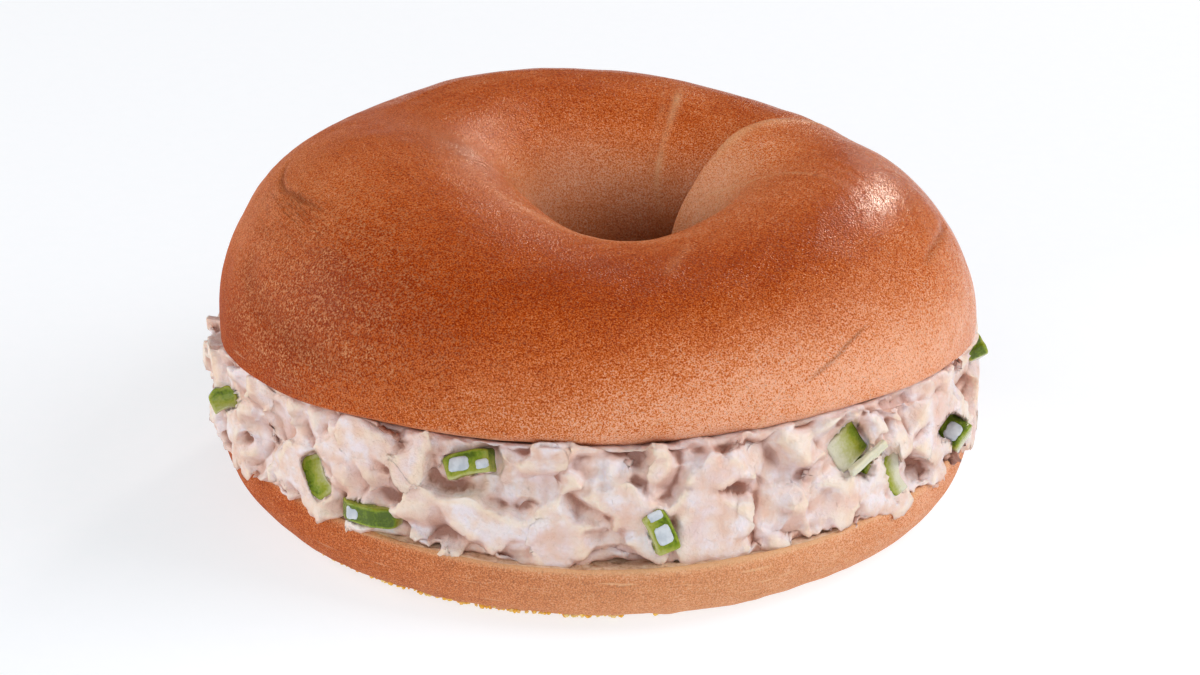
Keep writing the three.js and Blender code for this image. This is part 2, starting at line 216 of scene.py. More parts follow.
def addNode(tree, kind, links=None, stops=(), **settings):
    # one node with its own settings; links gives each input, by name or number, a value, a hex colour, an
    # output or a node whose first live output is used, or nothing; stops are a colour ramp's places and hex
    # colours
    node = tree.nodes.new("ShaderNode" + kind)
    for key, value in settings.items():
        setattr(node, key, value)
    live = [socket for socket in node.inputs if socket.enabled]
    for key, value in (links or {}).items():
        socket = live[key] if isinstance(key, int) else next(s for s in live if s.name == key)
        if isinstance(value, bpy.types.Node):
            value = next(s for s in value.outputs if s.enabled)
        if isinstance(value, bpy.types.NodeSocket):
            tree.links.new(value, socket)
        elif value is not None:
            socket.default_value = linearColour(value) if isinstance(value, str) else value
    for number, (place, code) in enumerate(stops):
        elements = node.color_ramp.elements
        element = elements[number] if number < 2 else elements.new(place)
        element.position, element.color = place, linearColour(code)
    return node


def makeMaterial(name, surface, *attributes):
    # surface is given the way to add nodes, the Object coordinates and the attributes, and gives back what
    # the shader is linked to
    material = bpy.data.materials.new(name)
    material.use_nodes = True
    material.node_tree.nodes.clear()
    add = partial(addNode, material.node_tree)
    place = add("TexCoord").outputs["Object"]
    values = [add("Attribute", attribute_name=attribute).outputs["Fac"] for attribute in attributes]
    shader = add("BsdfPrincipled", surface(add, place, *values))
    add("OutputMaterial", {"Surface": shader})
    return material


def layCoats(add, tone, *coats):
    # each coat covers the ones before where its field goes from start to full: the field, start, full, how
    # much it covers there, what scales that, the colour
    for field, start, full, most, scale, colour in coats:
        mask = add("MapRange", {"Value": field, "From Min": start, "From Max": full, "To Max": most})
        if scale is not None:
            mask = add("Math", {0: mask, 1: scale}, operation="MULTIPLY")
        tone = add("Mix", {"Factor": mask, "A": tone, "B": colour}, data_type="RGBA")
    return tone


# An outline is a circle times 1 + its waves, each [lobes, share, phase in degrees].
bagel = {"radius": 57.3, "holeRadius": 11.3, "holeX": 4.7, "holeY": 2.6, "foldAngle": 30.3, "foldHeight": 1.5,
         "foldRun": 34, "foldReach": (0.38, 0.68)}
upper = {"x": -0.3, "y": 0.5, "z": 27.1, "tilt": 3.6, "height": 24.5, "skirt": 3.0, "skirtTurn": 38,
         "outline": [[2, 0.007, 165], [3, 0.028, -62], [4, 0.013, -96]],
         "rise": [[1, 0.179, 130], [2, 0.058, 36], [3, 0.055, -67]],
         "sag": [[1, 0.146, 75], [2, 0.11, -134], [3, 0.486, 103]], "innerBend": 2.16, "outerBend": 2.0}
lower = {"x": 0.4, "y": -0.4, "radius": 57.2, "baseRadius": 47.9, "height": 12.3, "footFlare": 5.5,
         "flareLevel": 0.45, "flareStart": 0.3, "outline": [[2, 0.014, -22], [3, 0.017, 98]],
         "slope": [[1, 0.144, 130], [2, 0.049, -39]]}


def holeRadius(angle):  # distance from the axis to the off-centre hole's circle
    across = bagel["holeX"] * np.sin(angle) - bagel["holeY"] * np.cos(angle)
    along = bagel["holeX"] * np.cos(angle) + bagel["holeY"] * np.sin(angle)
    return along + np.sqrt(bagel["holeRadius"] ** 2 - across ** 2)


def upperRadius(angle):
    return bagel["radius"] * (1 + wave(angle, upper["outline"]))


def upperSkirt(angle):
    return upper["skirt"] * (1 + wave(angle, upper["sag"]))


def lowerRadius(angle):
    return lower["radius"] * (1 + wave(angle, lower["outline"]))


def lowerTop(angle):
    return lower["height"] * (1 + wave(angle, lower["slope"]))


def ceiling(angle, r):  # height of the upper half's cut face
    lift = np.tan(np.radians(upper["tilt"])) * (upper["y"] - r * np.sin(angle))
    return upper["z"] - upperSkirt(angle) + lift


def placeUpper(r, z, angle):  # section (r, z) at angle, tilted forward edge up and set over the lower half
    tilt = np.radians(upper["tilt"])
    x, y = r * np.cos(angle), r * np.sin(angle)
    return np.stack([x + upper["x"], y * np.cos(tilt) + z * np.sin(tilt) + upper["y"],
                     z * np.cos(tilt) - y * np.sin(tilt) + upper["z"]], -1)


def placeLower(r, z, angle):
    return polar(r, angle, z) + (lower["x"], lower["y"], 0)


def boxMiddle(node):
    low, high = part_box(node)
    return (np.array(low) + np.array(high)) / 2 / mm


# The frame's origin is the middle of the whole footprint, so everything shifts by what the lower half shows.
fine = np.linspace(-np.pi, np.pi, 721)
plain = placeLower(lowerRadius(fine), fine * 0, fine)
shift = boxMiddle("bagel_bottom")[:2] - (plain.min(0) + plain.max(0))[:2] / 2
shift = np.array([*shift, 0])
print("frame shift in mm", shift.round(3))

camera = {"place": (0, -426.05, 192.90), "pitch": 0.3819, "yaw": 0.0027, "lens": 90, "sensor": 36}


def makeCamera():
    data = bpy.data.cameras.new("camera")
    data.lens, data.sensor_width = camera["lens"], camera["sensor"]
    data.clip_start, data.clip_end = 0.01, 20
    eye = bpy.data.objects.new("camera", data)
    eye.rotation_euler = (np.pi / 2 - camera["pitch"], 0, -camera["yaw"])
    eye.location = tuple((np.array(camera["place"]) + shift) * mm)
    bpy.context.scene.collection.objects.link(eye)
    bpy.context.scene.camera = eye


# Softboxes by the direction that they stand in, degrees: azimuth from +X, elevation; distance and size in m.
softboxes = {
    "backLight": {"azimuth": 66, "elevation": 27, "distance": 0.9, "size": (0.12, 0.12), "power": 1.95,
                  "tint": "#ffe9d8"},
    "leftLight": {"azimuth": 176, "elevation": 25, "distance": 0.9, "size": (0.6, 0.6), "power": 4.5,
                  "tint": "#fff2e6"},
    "rightLight": {"azimuth": -12, "elevation": 40, "distance": 0.9, "size": (0.6, 0.6), "power": 5.4,
                   "tint": "#fff6f0"},
    "frontFill": {"azimuth": -98, "elevation": 26, "distance": 1.2, "size": (1.2, 0.5), "power": 4.4,
                  "tint": "#ffffff"},
}
studio = {"ambient": 0.12, "glow": (0.64, 0.755), "glowRun": (-20, 60), "glowTint": "#f8fdff",
          "floorWhite": "#a4a8b2", "floorShade": "#aaaeb8", "floorHalf": 3000, "floorLevel": -0.02}


def makeLights():
    for name, box in softboxes.items():
        data = bpy.data.lights.new(name, "AREA")
        data.shape = "RECTANGLE"
        data.size, data.size_y = box["size"]
        data.energy = box["power"]
        data.color = linearColour(box["tint"])[:3]
        azimuth, elevation = np.radians(box["azimuth"]), np.radians(box["elevation"])
        light = bpy.data.objects.new(name, data)
        flat = np.cos(elevation)
        toward = np.array([np.cos(azimuth) * flat, np.sin(azimuth) * flat, np.sin(elevation)])
        light.location = tuple(toward * box["distance"] + (0, 0, 0.03))
        light.rotation_euler = (np.pi / 2 - elevation, 0, azimuth + np.pi / 2)
        bpy.context.scene.collection.objects.link(light)
    world = bpy.data.worlds.new("studio")
    world.use_nodes = True
    background = world.node_tree.nodes["Background"]
    background.inputs["Color"].default_value = (1, 1, 1, 1)
    background.inputs["Strength"].default_value = studio["ambient"]
    bpy.context.scene.world = world


def seamlessPaper(add, place):
    # white seamless paper: matt, with a faint tooth; it glows, which is painted light, so that only the
    # shadow shows, and it glows more in front than on the left
    tooth = add("TexNoise", {"Vector": place, "Scale": 1 / (3 * mm)})
    white = add("Mix", {"Factor": tooth, "A": studio["floorWhite"], "B": studio["floorShade"]},
                data_type="RGBA")
    ahead = add("VectorMath", {0: place, 1: (0.6, -0.8, 0)}, operation="DOT_PRODUCT")
    (near, far), (dim, bright) = studio["glowRun"], studio["glow"]
    glow = add("MapRange", {"Value": ahead, "From Min": near * mm, "From Max": far * mm,
                            "To Min": dim, "To Max": bright})
    return {"Base Color": white, "Roughness": 0.9, "Emission Color": studio["glowTint"],
            "Emission Strength": glow, "Specular IOR Level": 0.1}


def makeFloor():
    half, level = studio["floorHalf"], studio["floorLevel"]
    corners = np.array([[-1, -1, 0], [1, -1, 0], [1, 1, 0], [-1, 1, 0]]) * half + (0, 0, level)
    floor = meshPiece("paper_floor", corners, np.array([[0, 1, 2, 3]]))
    floor.data.materials.append(makeMaterial("whiteSeamlessPaper", seamlessPaper))


makeCamera()
makeLights()
makeFloor()
bpy.context.scene.view_settings.view_transform = "Standard"
bpy.context.scene.view_settings.look = "None"

# Colours of the crust from least to most baked, and the patterns on it: mm across, detail, share of the
# whole range of browning that the pattern swings through, relief in mm. The grained ones are drawn out along
# the dough.
crustLook = {
    "tones": ((0.0, "#f0b698"), (0.25, "#de8c5a"), (0.5, "#c76528"), (0.75, "#ac4510"), (1.0, "#862a04")),
    "patterns": {"streak": (2.2, 3, 0.22, 0.04), "mottle": (2.6, 3, 0.30, 0.06),
                 "blister": (0.3, 1, 0.7, 0.08), "pimple": (0.6, 1, 0.0, 0.05), "grit": (0.22, 1, 2.2, 0.05),
                 "blotch": (9, 3, 0.30, None), "fibre": (0.8, 2, 0.22, None)},
    "grained": ("streak", "fibre"), "streakLength": 12, "gloss": (0.2, 0.33), "dullness": 0.5,
}


def bakedCrust(add, place, bake, pale, shade, torn, wrinkle, dots, dull, tight):
    # boiled and baked dough: boiling sets a thin skin with a satin gloss that fine blisters break into
    # sparkles; the oven browns it from tan to rust in soft blotches, and leaves each blister's top a paler
    # grain
    flow = add("UVMap", uv_map="flow")
    along = add("Mapping", {"Vector": flow, "Scale": (1 / crustLook["streakLength"], 1, 1)})
    # each pattern swings about a half, and all the halves are taken off first
    patterns = crustLook["patterns"]
    halves = sum(swing for _, _, swing, _ in patterns.values()) / 2
    level = add("Math", {0: bake, 1: halves}, operation="SUBTRACT")
    fields, relief = {}, None
    for name, (size, detail, swing, depth) in patterns.items():
        source = along if name in crustLook["grained"] else place
        fields[name] = add("TexNoise", {"Vector": source, "Scale": 1 / (size * mm), "Detail": detail,
                                        "Roughness": 0.6})
        level = add("Math", {0: fields[name], 1: swing, 2: level}, operation="MULTIPLY_ADD")
        if depth:
            relief = add("Bump", {"Height": fields[name], "Distance": depth * mm, "Normal": relief})
    # pale grains gather in patches, with bigger pimples where they are dense; hair-thin wrinkles lie where a
    # field crosses its middle
    patch = add("MapRange", {"Value": fields["mottle"], "From Min": 0.35, "From Max": 0.65,
                             "To Min": 0.25, "To Max": 0.8})
    grain = add("Math", {0: patch, 1: dots}, operation="MULTIPLY")
    dense = add("MapRange", {"Value": dots, "From Min": 0.4, "From Max": 1.0, "To Max": 0.3})
    line = add("Math", {0: fields["fibre"], 1: 0.5}, operation="SUBTRACT")
    line = add("Math", {0: line}, operation="ABSOLUTE")
    tone = add("ValToRGB", {"Fac": level}, stops=crustLook["tones"])
    tone = layCoats(add, tone,
                    (fields["blister"], 0.48, 0.7, 1, grain, "#e9ab77"),
                    (fields["pimple"], 0.54, 0.64, 1, dense, "#e6a070"),
                    (fields["grit"], 0.40, 0.28, 0.5, None, "#6a2405"),
                    (fields["fibre"], 0.62, 0.74, 1, torn, "#f0c39a"),
                    (line, 0.03, 0.0, 0.7, wrinkle, "#5c240c"),
                    (pale, 0, 1, 1, None, "#e3b98e"), (shade, 0, 1, 1, None, "#5f2a10"))
    # the sides of the lower half stood in the tray and stayed dull; skin that was stretched tight is glossier
    satin, matt = crustLook["gloss"]
    gloss = add("MapRange", {"Value": fields["mottle"], "From Min": 0.3, "From Max": 0.7,
                             "To Min": satin, "To Max": matt})
    gloss = add("Math", {0: dull, 1: crustLook["dullness"], 2: gloss}, operation="MULTIPLY_ADD")
    return {"Base Color": tone, "Roughness": gloss, "Normal": relief, "IOR": 1.45, "Specular IOR Level": 0.1,
            "Coat Weight": tight, "Coat Roughness": 0.15, "Coat Normal": relief, "Subsurface Weight": 0.06,
            "Subsurface Radius": (1.0, 0.35, 0.12), "Subsurface Scale": 1.5 * mm}


def bagelCrumb(add, place, pale):
    # cut bread: matt and dry, with torn pores from half a millimetre to two across, pinkish tan between them
    relief = None
    for size, detail, rough, depth in ((1.3, 3, 0.65, 0.4), (0.45, 1, 0.5, 0.12)):
        pore = add("TexNoise", {"Vector": place, "Scale": 1 / (size * mm), "Detail": detail,
                                "Roughness": rough})
        if relief is None:
            tone = add("ValToRGB", {"Fac": pore},
                       stops=((0.3, "#b88c6e"), (0.45, "#d6b294"), (0.6, "#e6c9b0"), (0.8, "#f2dcca")))
        relief = add("Bump", {"Height": pore, "Distance": depth * mm, "Normal": relief})
    tone = layCoats(add, tone, (pale, 0, 1, 1, None, "#e0b088"))
    return {"Base Color": tone, "Roughness": 0.7, "Normal": relief, "IOR": 1.4, "Specular IOR Level": 0.35,
            "Subsurface Weight": 0.15, "Subsurface Radius": (1.0, 0.5, 0.3), "Subsurface Scale": 1.5 * mm}


crustSkin = makeMaterial("boiledBakedCrust", bakedCrust,
                         "bake", "pale", "shade", "torn", "wrinkle", "dots", "dull", "tight")
crumb = makeMaterial("cutBagelCrumb", bagelCrumb, "pale")


def bakeBread(name, slot, node, grid, along, across, looks, cut):
    # a bread half from its grid, whose last column repeats the first. The UV map is in metres along the
    # dough's grain and across it: along and across have one more column and row than the faces, so that the
    # map doesn't fold back where the grid closes. looks are attributes, and cut tells the rows that show
    # crumb
    whole = grid[:-1] + shift
    columns, rows = whole.shape[:2]
    piece = meshPiece(name, whole.reshape(-1, 3), ringFaces(columns, rows))
    i, j = np.meshgrid(np.arange(columns), np.arange(rows), indexing="ij")
    corners = [(i, j), (i + 1, j), (i + 1, j + 1), (i, j + 1)]
    uv = np.stack([np.stack([along[a, b], across[a, b]], -1) for a, b in corners], 2)
    layer = piece.data.uv_layers.new(name="flow")
    layer.data.foreach_set("uv", (uv * mm).astype(np.float32).ravel())
    for attribute, values in looks.items():
        putAttribute(piece, attribute, np.clip(values[:-1], 0, 1))
    piece.data.polygons.foreach_set("material_index", np.tile(cut, (columns, 1)).astype(np.int32).ravel())
    finishPiece(piece, slot, [node], crustSkin, crumb)


def wrapDegrees(value):  # to -180..180
    return (value + 180) % 360 - 180


# share is the way round the dough's section from the outer rim (0) over the top (0.5) to the hole (1).
topCrust = {
    "columns": 440, "foldDensity": 5.0, "foldSpan": 5.0,
    "skirtRows": 9, "domeRows": 168, "innerRows": 8, "faceRows": 25,
    "foldLean": ((0.0, -2.0), (0.5, 0.0), (0.72, 0.0), (0.8, 1.7), (0.88, 6.2), (1.0, 9.0)),  # share, degrees
    "leanReach": 40, "foldStep": 1.0, "foldExtra": 1.0,  # degrees; mm
    # beside the fold: mm high or how strong, mm ahead of the fold, mm wide
    "lip": (0.35, 1.3, 1.3), "groove": (0.55, -1.0, 1.1), "dust": (0.42, 1.1, 1.5), "foldTan": (0.2, 7, 7),
    "foldShade": (0.34, -0.7, 1.0), "farShade": (0.2, 0, 7),
    "holePale": 0.12, "holeShade": 0.72, "holeLit": 0.8, "litReach": 40,
    "swell": ((26, 0.40), (11, 0.22), (4.5, 0.09)), "shrink": 0.05,  # mm across, mm high; mm
    "ringRadius": 42, "sectionLength": 105, "twistStart": 145.3, "twist": 0.0095, "twistEase": 25,
    "grainStretch": 14, "grainCell": 2.4, "grainHeight": 0.05, "wrinkleHeight": 0.035,
    "wrinkleSize": (1.6, 1 / 14),  # degrees, share
    "faceWidth": 40, "poreCell": 2.4, "poreDepth": 0.25,
    "bake": 0.50, "skirtBake": -0.15, "dots": 0.2, "holeTorn": 0.25, "rimTorn": 0.3,
}
# lines on the crust: mm wide, mm high (below 0 a groove), paleness, shade, points as (azimuth, share)
crustLines = {
    "secondArc": (0.45, 0.08, 0.26, 0, ((26, 0.846), (14.5, 0.78), (2, 0.721), (-8, 0.635), (-12.7, 0.561),
                                        (-16.5, 0.499), (-21.7, 0.445))),
    "farStreak": (0.9, 0.14, 0.42, 0, ((66.5, 0.497), (62, 0.623), (59.5, 0.739), (57.5, 0.81), (49.5, 0.9))),
    "farStreakBeside": (0.6, 0.08, 0.16, 0, ((70.5, 0.52), (66, 0.623), (63.5, 0.739), (61.5, 0.83))),
    "leftCrease": (0.45, -0.32, 0, 0.5, ((-176, 0.325), (-171, 0.304), (-166, 0.295), (-161, 0.292),
                                         (-156, 0.3), (-150, 0.308), (-141, 0.312))),
    "leftCreaseBeside": (0.4, -0.15, 0, 0.22, ((-158, 0.288), (-151, 0.292), (-144, 0.29))),
    "leftCreaseLow": (0.4, -0.12, 0, 0.15, ((-160, 0.28), (-152, 0.276), (-146, 0.268))),
    "leftFold": (2.2, -0.25, 0, 0.2, ((-160, 0.185), (-151, 0.14), (-142, 0.108), (-133, 0.088),
                                      (-122, 0.072))),
    "rightDent": (0.8, -0.32, 0, 0.3, ((-8, 0.225), (-11, 0.232), (-21.5, 0.234), (-28, 0.218))),
    "darkStreak": (0.28, -0.03, 0, 0.5, ((-44.7, 0.162), (-49.5, 0.132), (-53.5, 0.098), (-58.8, 0.06))),
    "frontSwirl": (0.9, 0.05, 0.12, 0, ((-76, 0.37), (-70, 0.45), (-62, 0.53))),
}
# soft spots of each attribute: azimuth, share, half widths in degrees and share, amount. Under bake they are
# where the oven browned it more (above 0) or less, but the spot at azimuth 60, share 1.0 is painted shade
# at the foot of the hole's far wall.
crustSpots = {
    "bake": ((-115, 0.28, 45, 0.26, 0.30), (-150, 0.03, 32, 0.09, 0.34), (-75, 0.38, 30, 0.12, 0.20),
             (90, 0.60, 70, 0.12, 0.14), (-35, 0.40, 26, 0.10, 0.22), (-56, 0.05, 40, 0.13, -0.40),
             (-25, 0.06, 30, 0.12, -0.14), (14, 0.72, 20, 0.18, -0.30), (60, 0.88, 60, 0.13, -0.22),
             (140, 0.88, 60, 0.13, -0.26), (-90, 0.9, 80, 0.16, -0.3), (180, 0.5, 40, 0.10, 0.05),
             (40, 0.55, 16, 0.12, -0.08), (60, 0.05, 60, 0.10, -0.2), (140, 0.30, 50, 0.2, 0.15),
             (-95, 0.60, 40, 0.03, -0.25), (-90, 0.02, 30, 0.06, -0.15), (60, 1.0, 60, 0.10, 0.35),
             (-20, 0.25, 30, 0.12, -0.05), (170, 0.25, 26, 0.12, -0.16), (42, 0.50, 15, 0.09, 0.20),
             (5, 0.48, 14, 0.10, 0.20), (-128, 0.20, 14, 0.08, 0.2), (-150, 0.36, 12, 0.08, -0.10),
             (-150, 0.10, 26, 0.10, 0.12)),
    "wrinkle": ((-152, 0.28, 15, 0.05, 1),),
    "dots": ((-135, 0.09, 22, 0.09, 0.6), (-148, 0.25, 34, 0.2, 0.8)),
    "dull": ((-155, 0.03, 34, 0.14, 0.9), (180, 0.25, 30, 0.25, 0.6)),
    "tight": ((-165, 0.655, 20, 0.05, 1), (-20, 0.375, 9, 0.045, 1)),
    "torn": ((-88, 0.65, 55, 0.09, 0.8),),
}


def lineDistance(azimuth, share, path):
    # mm from a line of (azimuth, share) points, with the section taken as 85 mm long and 38 mm from the axis;
    # ends fades the line out at both of its ends
    fromAxis, sectionLength = 38, 85
    scaleX, scaleY = np.radians(1) * fromAxis, sectionLength
    points = np.array(path, float) * (scaleX, scaleY)
    closest = np.full(np.broadcast(azimuth, share).shape, 1e6)
    run = np.zeros_like(closest)
    length = 0.0
    for (ax, ay), (bx, by) in zip(points[:-1], points[1:]):
        x = wrapDegrees(azimuth - ax / scaleX) * scaleX
        y = share * scaleY - ay
        dx, dy = bx - ax, by - ay
        size = np.hypot(dx, dy)
        along = np.clip((x * dx + y * dy) / size ** 2, 0, 1)
        away = np.hypot(x - along * dx, y - along * dy)
        nearer = away < closest
        run = np.where(nearer, length + along * size, run)
        closest = np.where(nearer, away, closest)
        length += size
    ends = smoothStep(run / (0.2 * length)) * smoothStep((length - run) / (0.25 * length))
    return closest, ends


def makeTop():
    print("upper half")
    spec = topCrust
    # columns: closer together near the fold, where the grid also closes; past runs from -360 (just after the
    # fold) to 0 (just before it)
    even = np.linspace(-360, 0, 4001)
    density = 1 + spec["foldDensity"] * (bump(even, spec["foldSpan"]) + bump(even + 360, spec["foldSpan"]))
    total = np.concatenate([[0], np.cumsum((density[1:] + density[:-1]) / 2)])
    past = np.interp(np.linspace(0, total[-1], spec["columns"] + 1), total, even)[:, None]
    # rows: outer skirt, dome, inner skirt, cut face; swing is the turn round the section
    turn = np.radians(upper["skirtTurn"])
    outerSkirt = np.linspace(-turn, 0, spec["skirtRows"], endpoint=False)
    dome = np.linspace(0, np.pi, spec["domeRows"])
    innerSkirt = np.linspace(np.pi, np.pi + turn, spec["innerRows"] + 1)[1:]
    swing = np.concatenate([outerSkirt, dome, innerSkirt])[None, :]
    share = np.clip(swing / np.pi, 0, 1)
    lean = np.interp(share, *zip(*spec["foldLean"]))
    lean = lean * (bump(past, spec["leanReach"]) + bump(past + 360, spec["leanReach"]))
    azimuth = bagel["foldAngle"] + past + lean
    angle = np.radians(azimuth)

    # section: two superellipse quarters, r = middle + half * cos ** (2 / bend), z = rise * sin ** (2 / bend),
    # and below them a skirt that turns in under the rim
    outer, inner = upperRadius(angle), holeRadius(angle)
    middle, half = (outer + inner) / 2, (outer - inner) / 2
    rise = upper["height"] * (1 + wave(angle, upper["rise"]))
    drop = upperSkirt(angle)
    bend = np.where(swing < np.pi / 2, upper["outerBend"], upper["innerBend"])
    onDome = (swing >= 0) & (swing <= np.pi)
    sine = np.clip(np.sin(swing), 0, 1)
    across = np.where(onDome, np.sign(np.cos(swing)) * np.abs(np.cos(swing)) ** (2 / bend), np.cos(swing))
    under = np.where(swing < 0, -swing, swing - np.pi)
    r = middle + half * across
    z = np.where(onDome, rise * sine ** (2 / bend), -drop * np.sin(under) / np.sin(turn))
    skin = placeUpper(r, z, angle)

    # the joined end: stands proud up to the fold, with a rounded lip and a groove at its foot
    start, full = bagel["foldReach"]
    reach = smoothStep((share - start) / (full - start))
    before, after = np.radians(past) * r, np.radians(past + 360) * r  # mm along the ring, from the fold
    rope = smoothStep(0.5 - before / spec["foldStep"]) * smoothStep(1 + past / bagel["foldRun"])
    rope = rope * (past > -180)
    rope += smoothStep(0.5 - after / spec["foldStep"]) * (past < -180)
    high = ramp(share, 0.3, 0.3)
    lip = crest(before, *spec["lip"]) - crest(after, *spec["groove"])
    extra = spec["foldExtra"] * ramp(share, 0.45, 0.2)
    height = (bagel["foldHeight"] + extra) * rope * reach + lip * high

    # a painted highlight on the lip, paler tan by the fold in the hole, painted shade in the groove, then the
    # lines
    broken = 0.8 + 0.45 * latticeNoise(skin, 2.6, 12)
    # painted highlight: the lip's near edge is painted paler, broken by noise, and less so down in the hole
    pale = crest(before, *spec["dust"]) * ramp(share, 0.36, 0.1) * broken
    pale = pale * (1 - 0.7 * ramp(share, 0.66, 0.1))
    pale += crest(before, *spec["foldTan"]) * ramp(share, 0.62, 0.1) * (past > -180)
    shade = crest(after, *spec["foldShade"]) + crest(after, *spec["farShade"])
    shade = shade * ramp(share, 0.5, 0.1) * (past < -180)
    # the hole's wall gets greyer, and darker to its foot, but for the joined end, which the light reaches
    lit = smoothStep(1 + past / spec["litReach"]) * (past > -180)
    pale += spec["holePale"] * ramp(share, 0.70, 0.12)
    shade += spec["holeShade"] * ramp(share, 0.68, 0.28) * (1 - spec["holeLit"] * lit)
    for width, tall, paler, darker, path in crustLines.values():
        distance, ends = lineDistance(azimuth, share, path)
        near = bump(distance, width) * ends
        height += tall * near
        pale += paler * near * broken
        shade += darker * near
    for size, tall in spec["swell"]:
        height += tall * latticeNoise(skin, size, 3)
    height -= spec["shrink"]

    # the grain of the dough: rings on the left, a twist that climbs towards the fold on the right
    twisted = np.maximum(past + spec["twistStart"], 0)
    flowAlong = np.radians(past) * spec["ringRadius"] + 0 * share
    flowAcross = share - spec["twist"] * twisted ** 2 / (twisted + spec["twistEase"])
    flowAcross = flowAcross * spec["sectionLength"]
    flow = np.stack([flowAlong / spec["grainStretch"], flowAcross, 0 * flowAlong], -1)
    height += spec["grainHeight"] * roughness(flow, spec["grainCell"], 5, 2) * smoothStep(share / 0.1)
    # hair wrinkles that run down into the hole
    wide, long = spec["wrinkleSize"]
    wrinkles = np.stack([azimuth / wide + 0 * share, share / long + 0 * azimuth, 0 * azimuth + 0 * share], -1)
    height += spec["wrinkleHeight"] * roughness(wrinkles, 1.0, 9, 2) * ramp(share, 0.6, 0.2)
    skin = raiseGrid(skin, height)

    # cut face: straight from the hole out to the rim, with pores pressed up into it
    over = np.linspace(0, 1, spec["faceRows"] + 2)[1:-1][None, :, None]
    face = mix(skin[:, -1:], skin[:, :1], over)
    tilt = np.radians(upper["tilt"])
    away = np.minimum(over[..., 0], 1 - over[..., 0]) * spec["faceWidth"]
    pores = spec["poreDepth"] * roughness(face, spec["poreCell"], 21, 3) * smoothStep(away / 1.5)
    face = face + pores[..., None] * np.array([0, np.sin(tilt), np.cos(tilt)])

    whole = np.concatenate([skin, face], 1)
    hold = ((0, 0), (0, face.shape[1] + 1))
    flowAlong, flowAcross = np.pad(flowAlong, hold, mode="edge"), np.pad(flowAcross, hold, mode="edge")
    torn = spec["holeTorn"] * ramp(share, 0.7, 0.1) + spec["rimTorn"] * bump(share, 0.06)
    looks = {"bake": spec["bake"] + spec["skirtBake"] * smoothStep(-swing / turn * 1.2), "pale": pale,
             "shade": shade, "torn": torn, "wrinkle": 0, "dots": spec["dots"], "dull": 0, "tight": 0}
    for name, values in looks.items():
        for centre, level, wide, tall, amount in crustSpots.get(name, ()):
            # a bell in both directions: exp(-(degrees away / wide) ** 2 - (share away / tall) ** 2)
            turned = (wrapDegrees(azimuth - centre) / wide) ** 2
            values = values + amount * np.exp(-turned - ((share - level) / tall) ** 2)
        looks[name] = np.pad(values, ((0, 0), (0, face.shape[1])))
    cut = np.arange(whole.shape[1]) >= swing.shape[1]
    bakeBread("upper_half", "crust", "bagel_top", whole, flowAlong, flowAcross, looks, cut)


makeTop()

bottomBread = {
    "columns": 430, "sideRows": 44, "rimRows": 7, "faceRows": 64, "wallRows": 18, "baseRows": 12,
    "rimRound": 0.7, "faceCrowd": 2.4, "swell": ((14, 0.22), (5, 0.08)),  # mm across, mm high
    "fibreHeight": 0.07, "footBreak": 0.35, "breakCell": 3.0, "footReach": 1.6, "poreCell": 1.9,
    "poreDepth": 0.42, "hollow": 0.35, "wallHeight": 0.2, "ringRadius": 55,
    "bakeLeft": 0.7, "bakeRight": 0.13, "bakeTurn": -15, "edgeBake": -0.12,
    "torn": 0.75, "rimPale": 0.45, "footPale": 0.2, "facePale": 0.4, "dull": 0.9, "dots": 0.2,
    "frontPale": 0.36, "frontBake": 0.18, "frontTurn": -76, "frontSpan": 42,
}


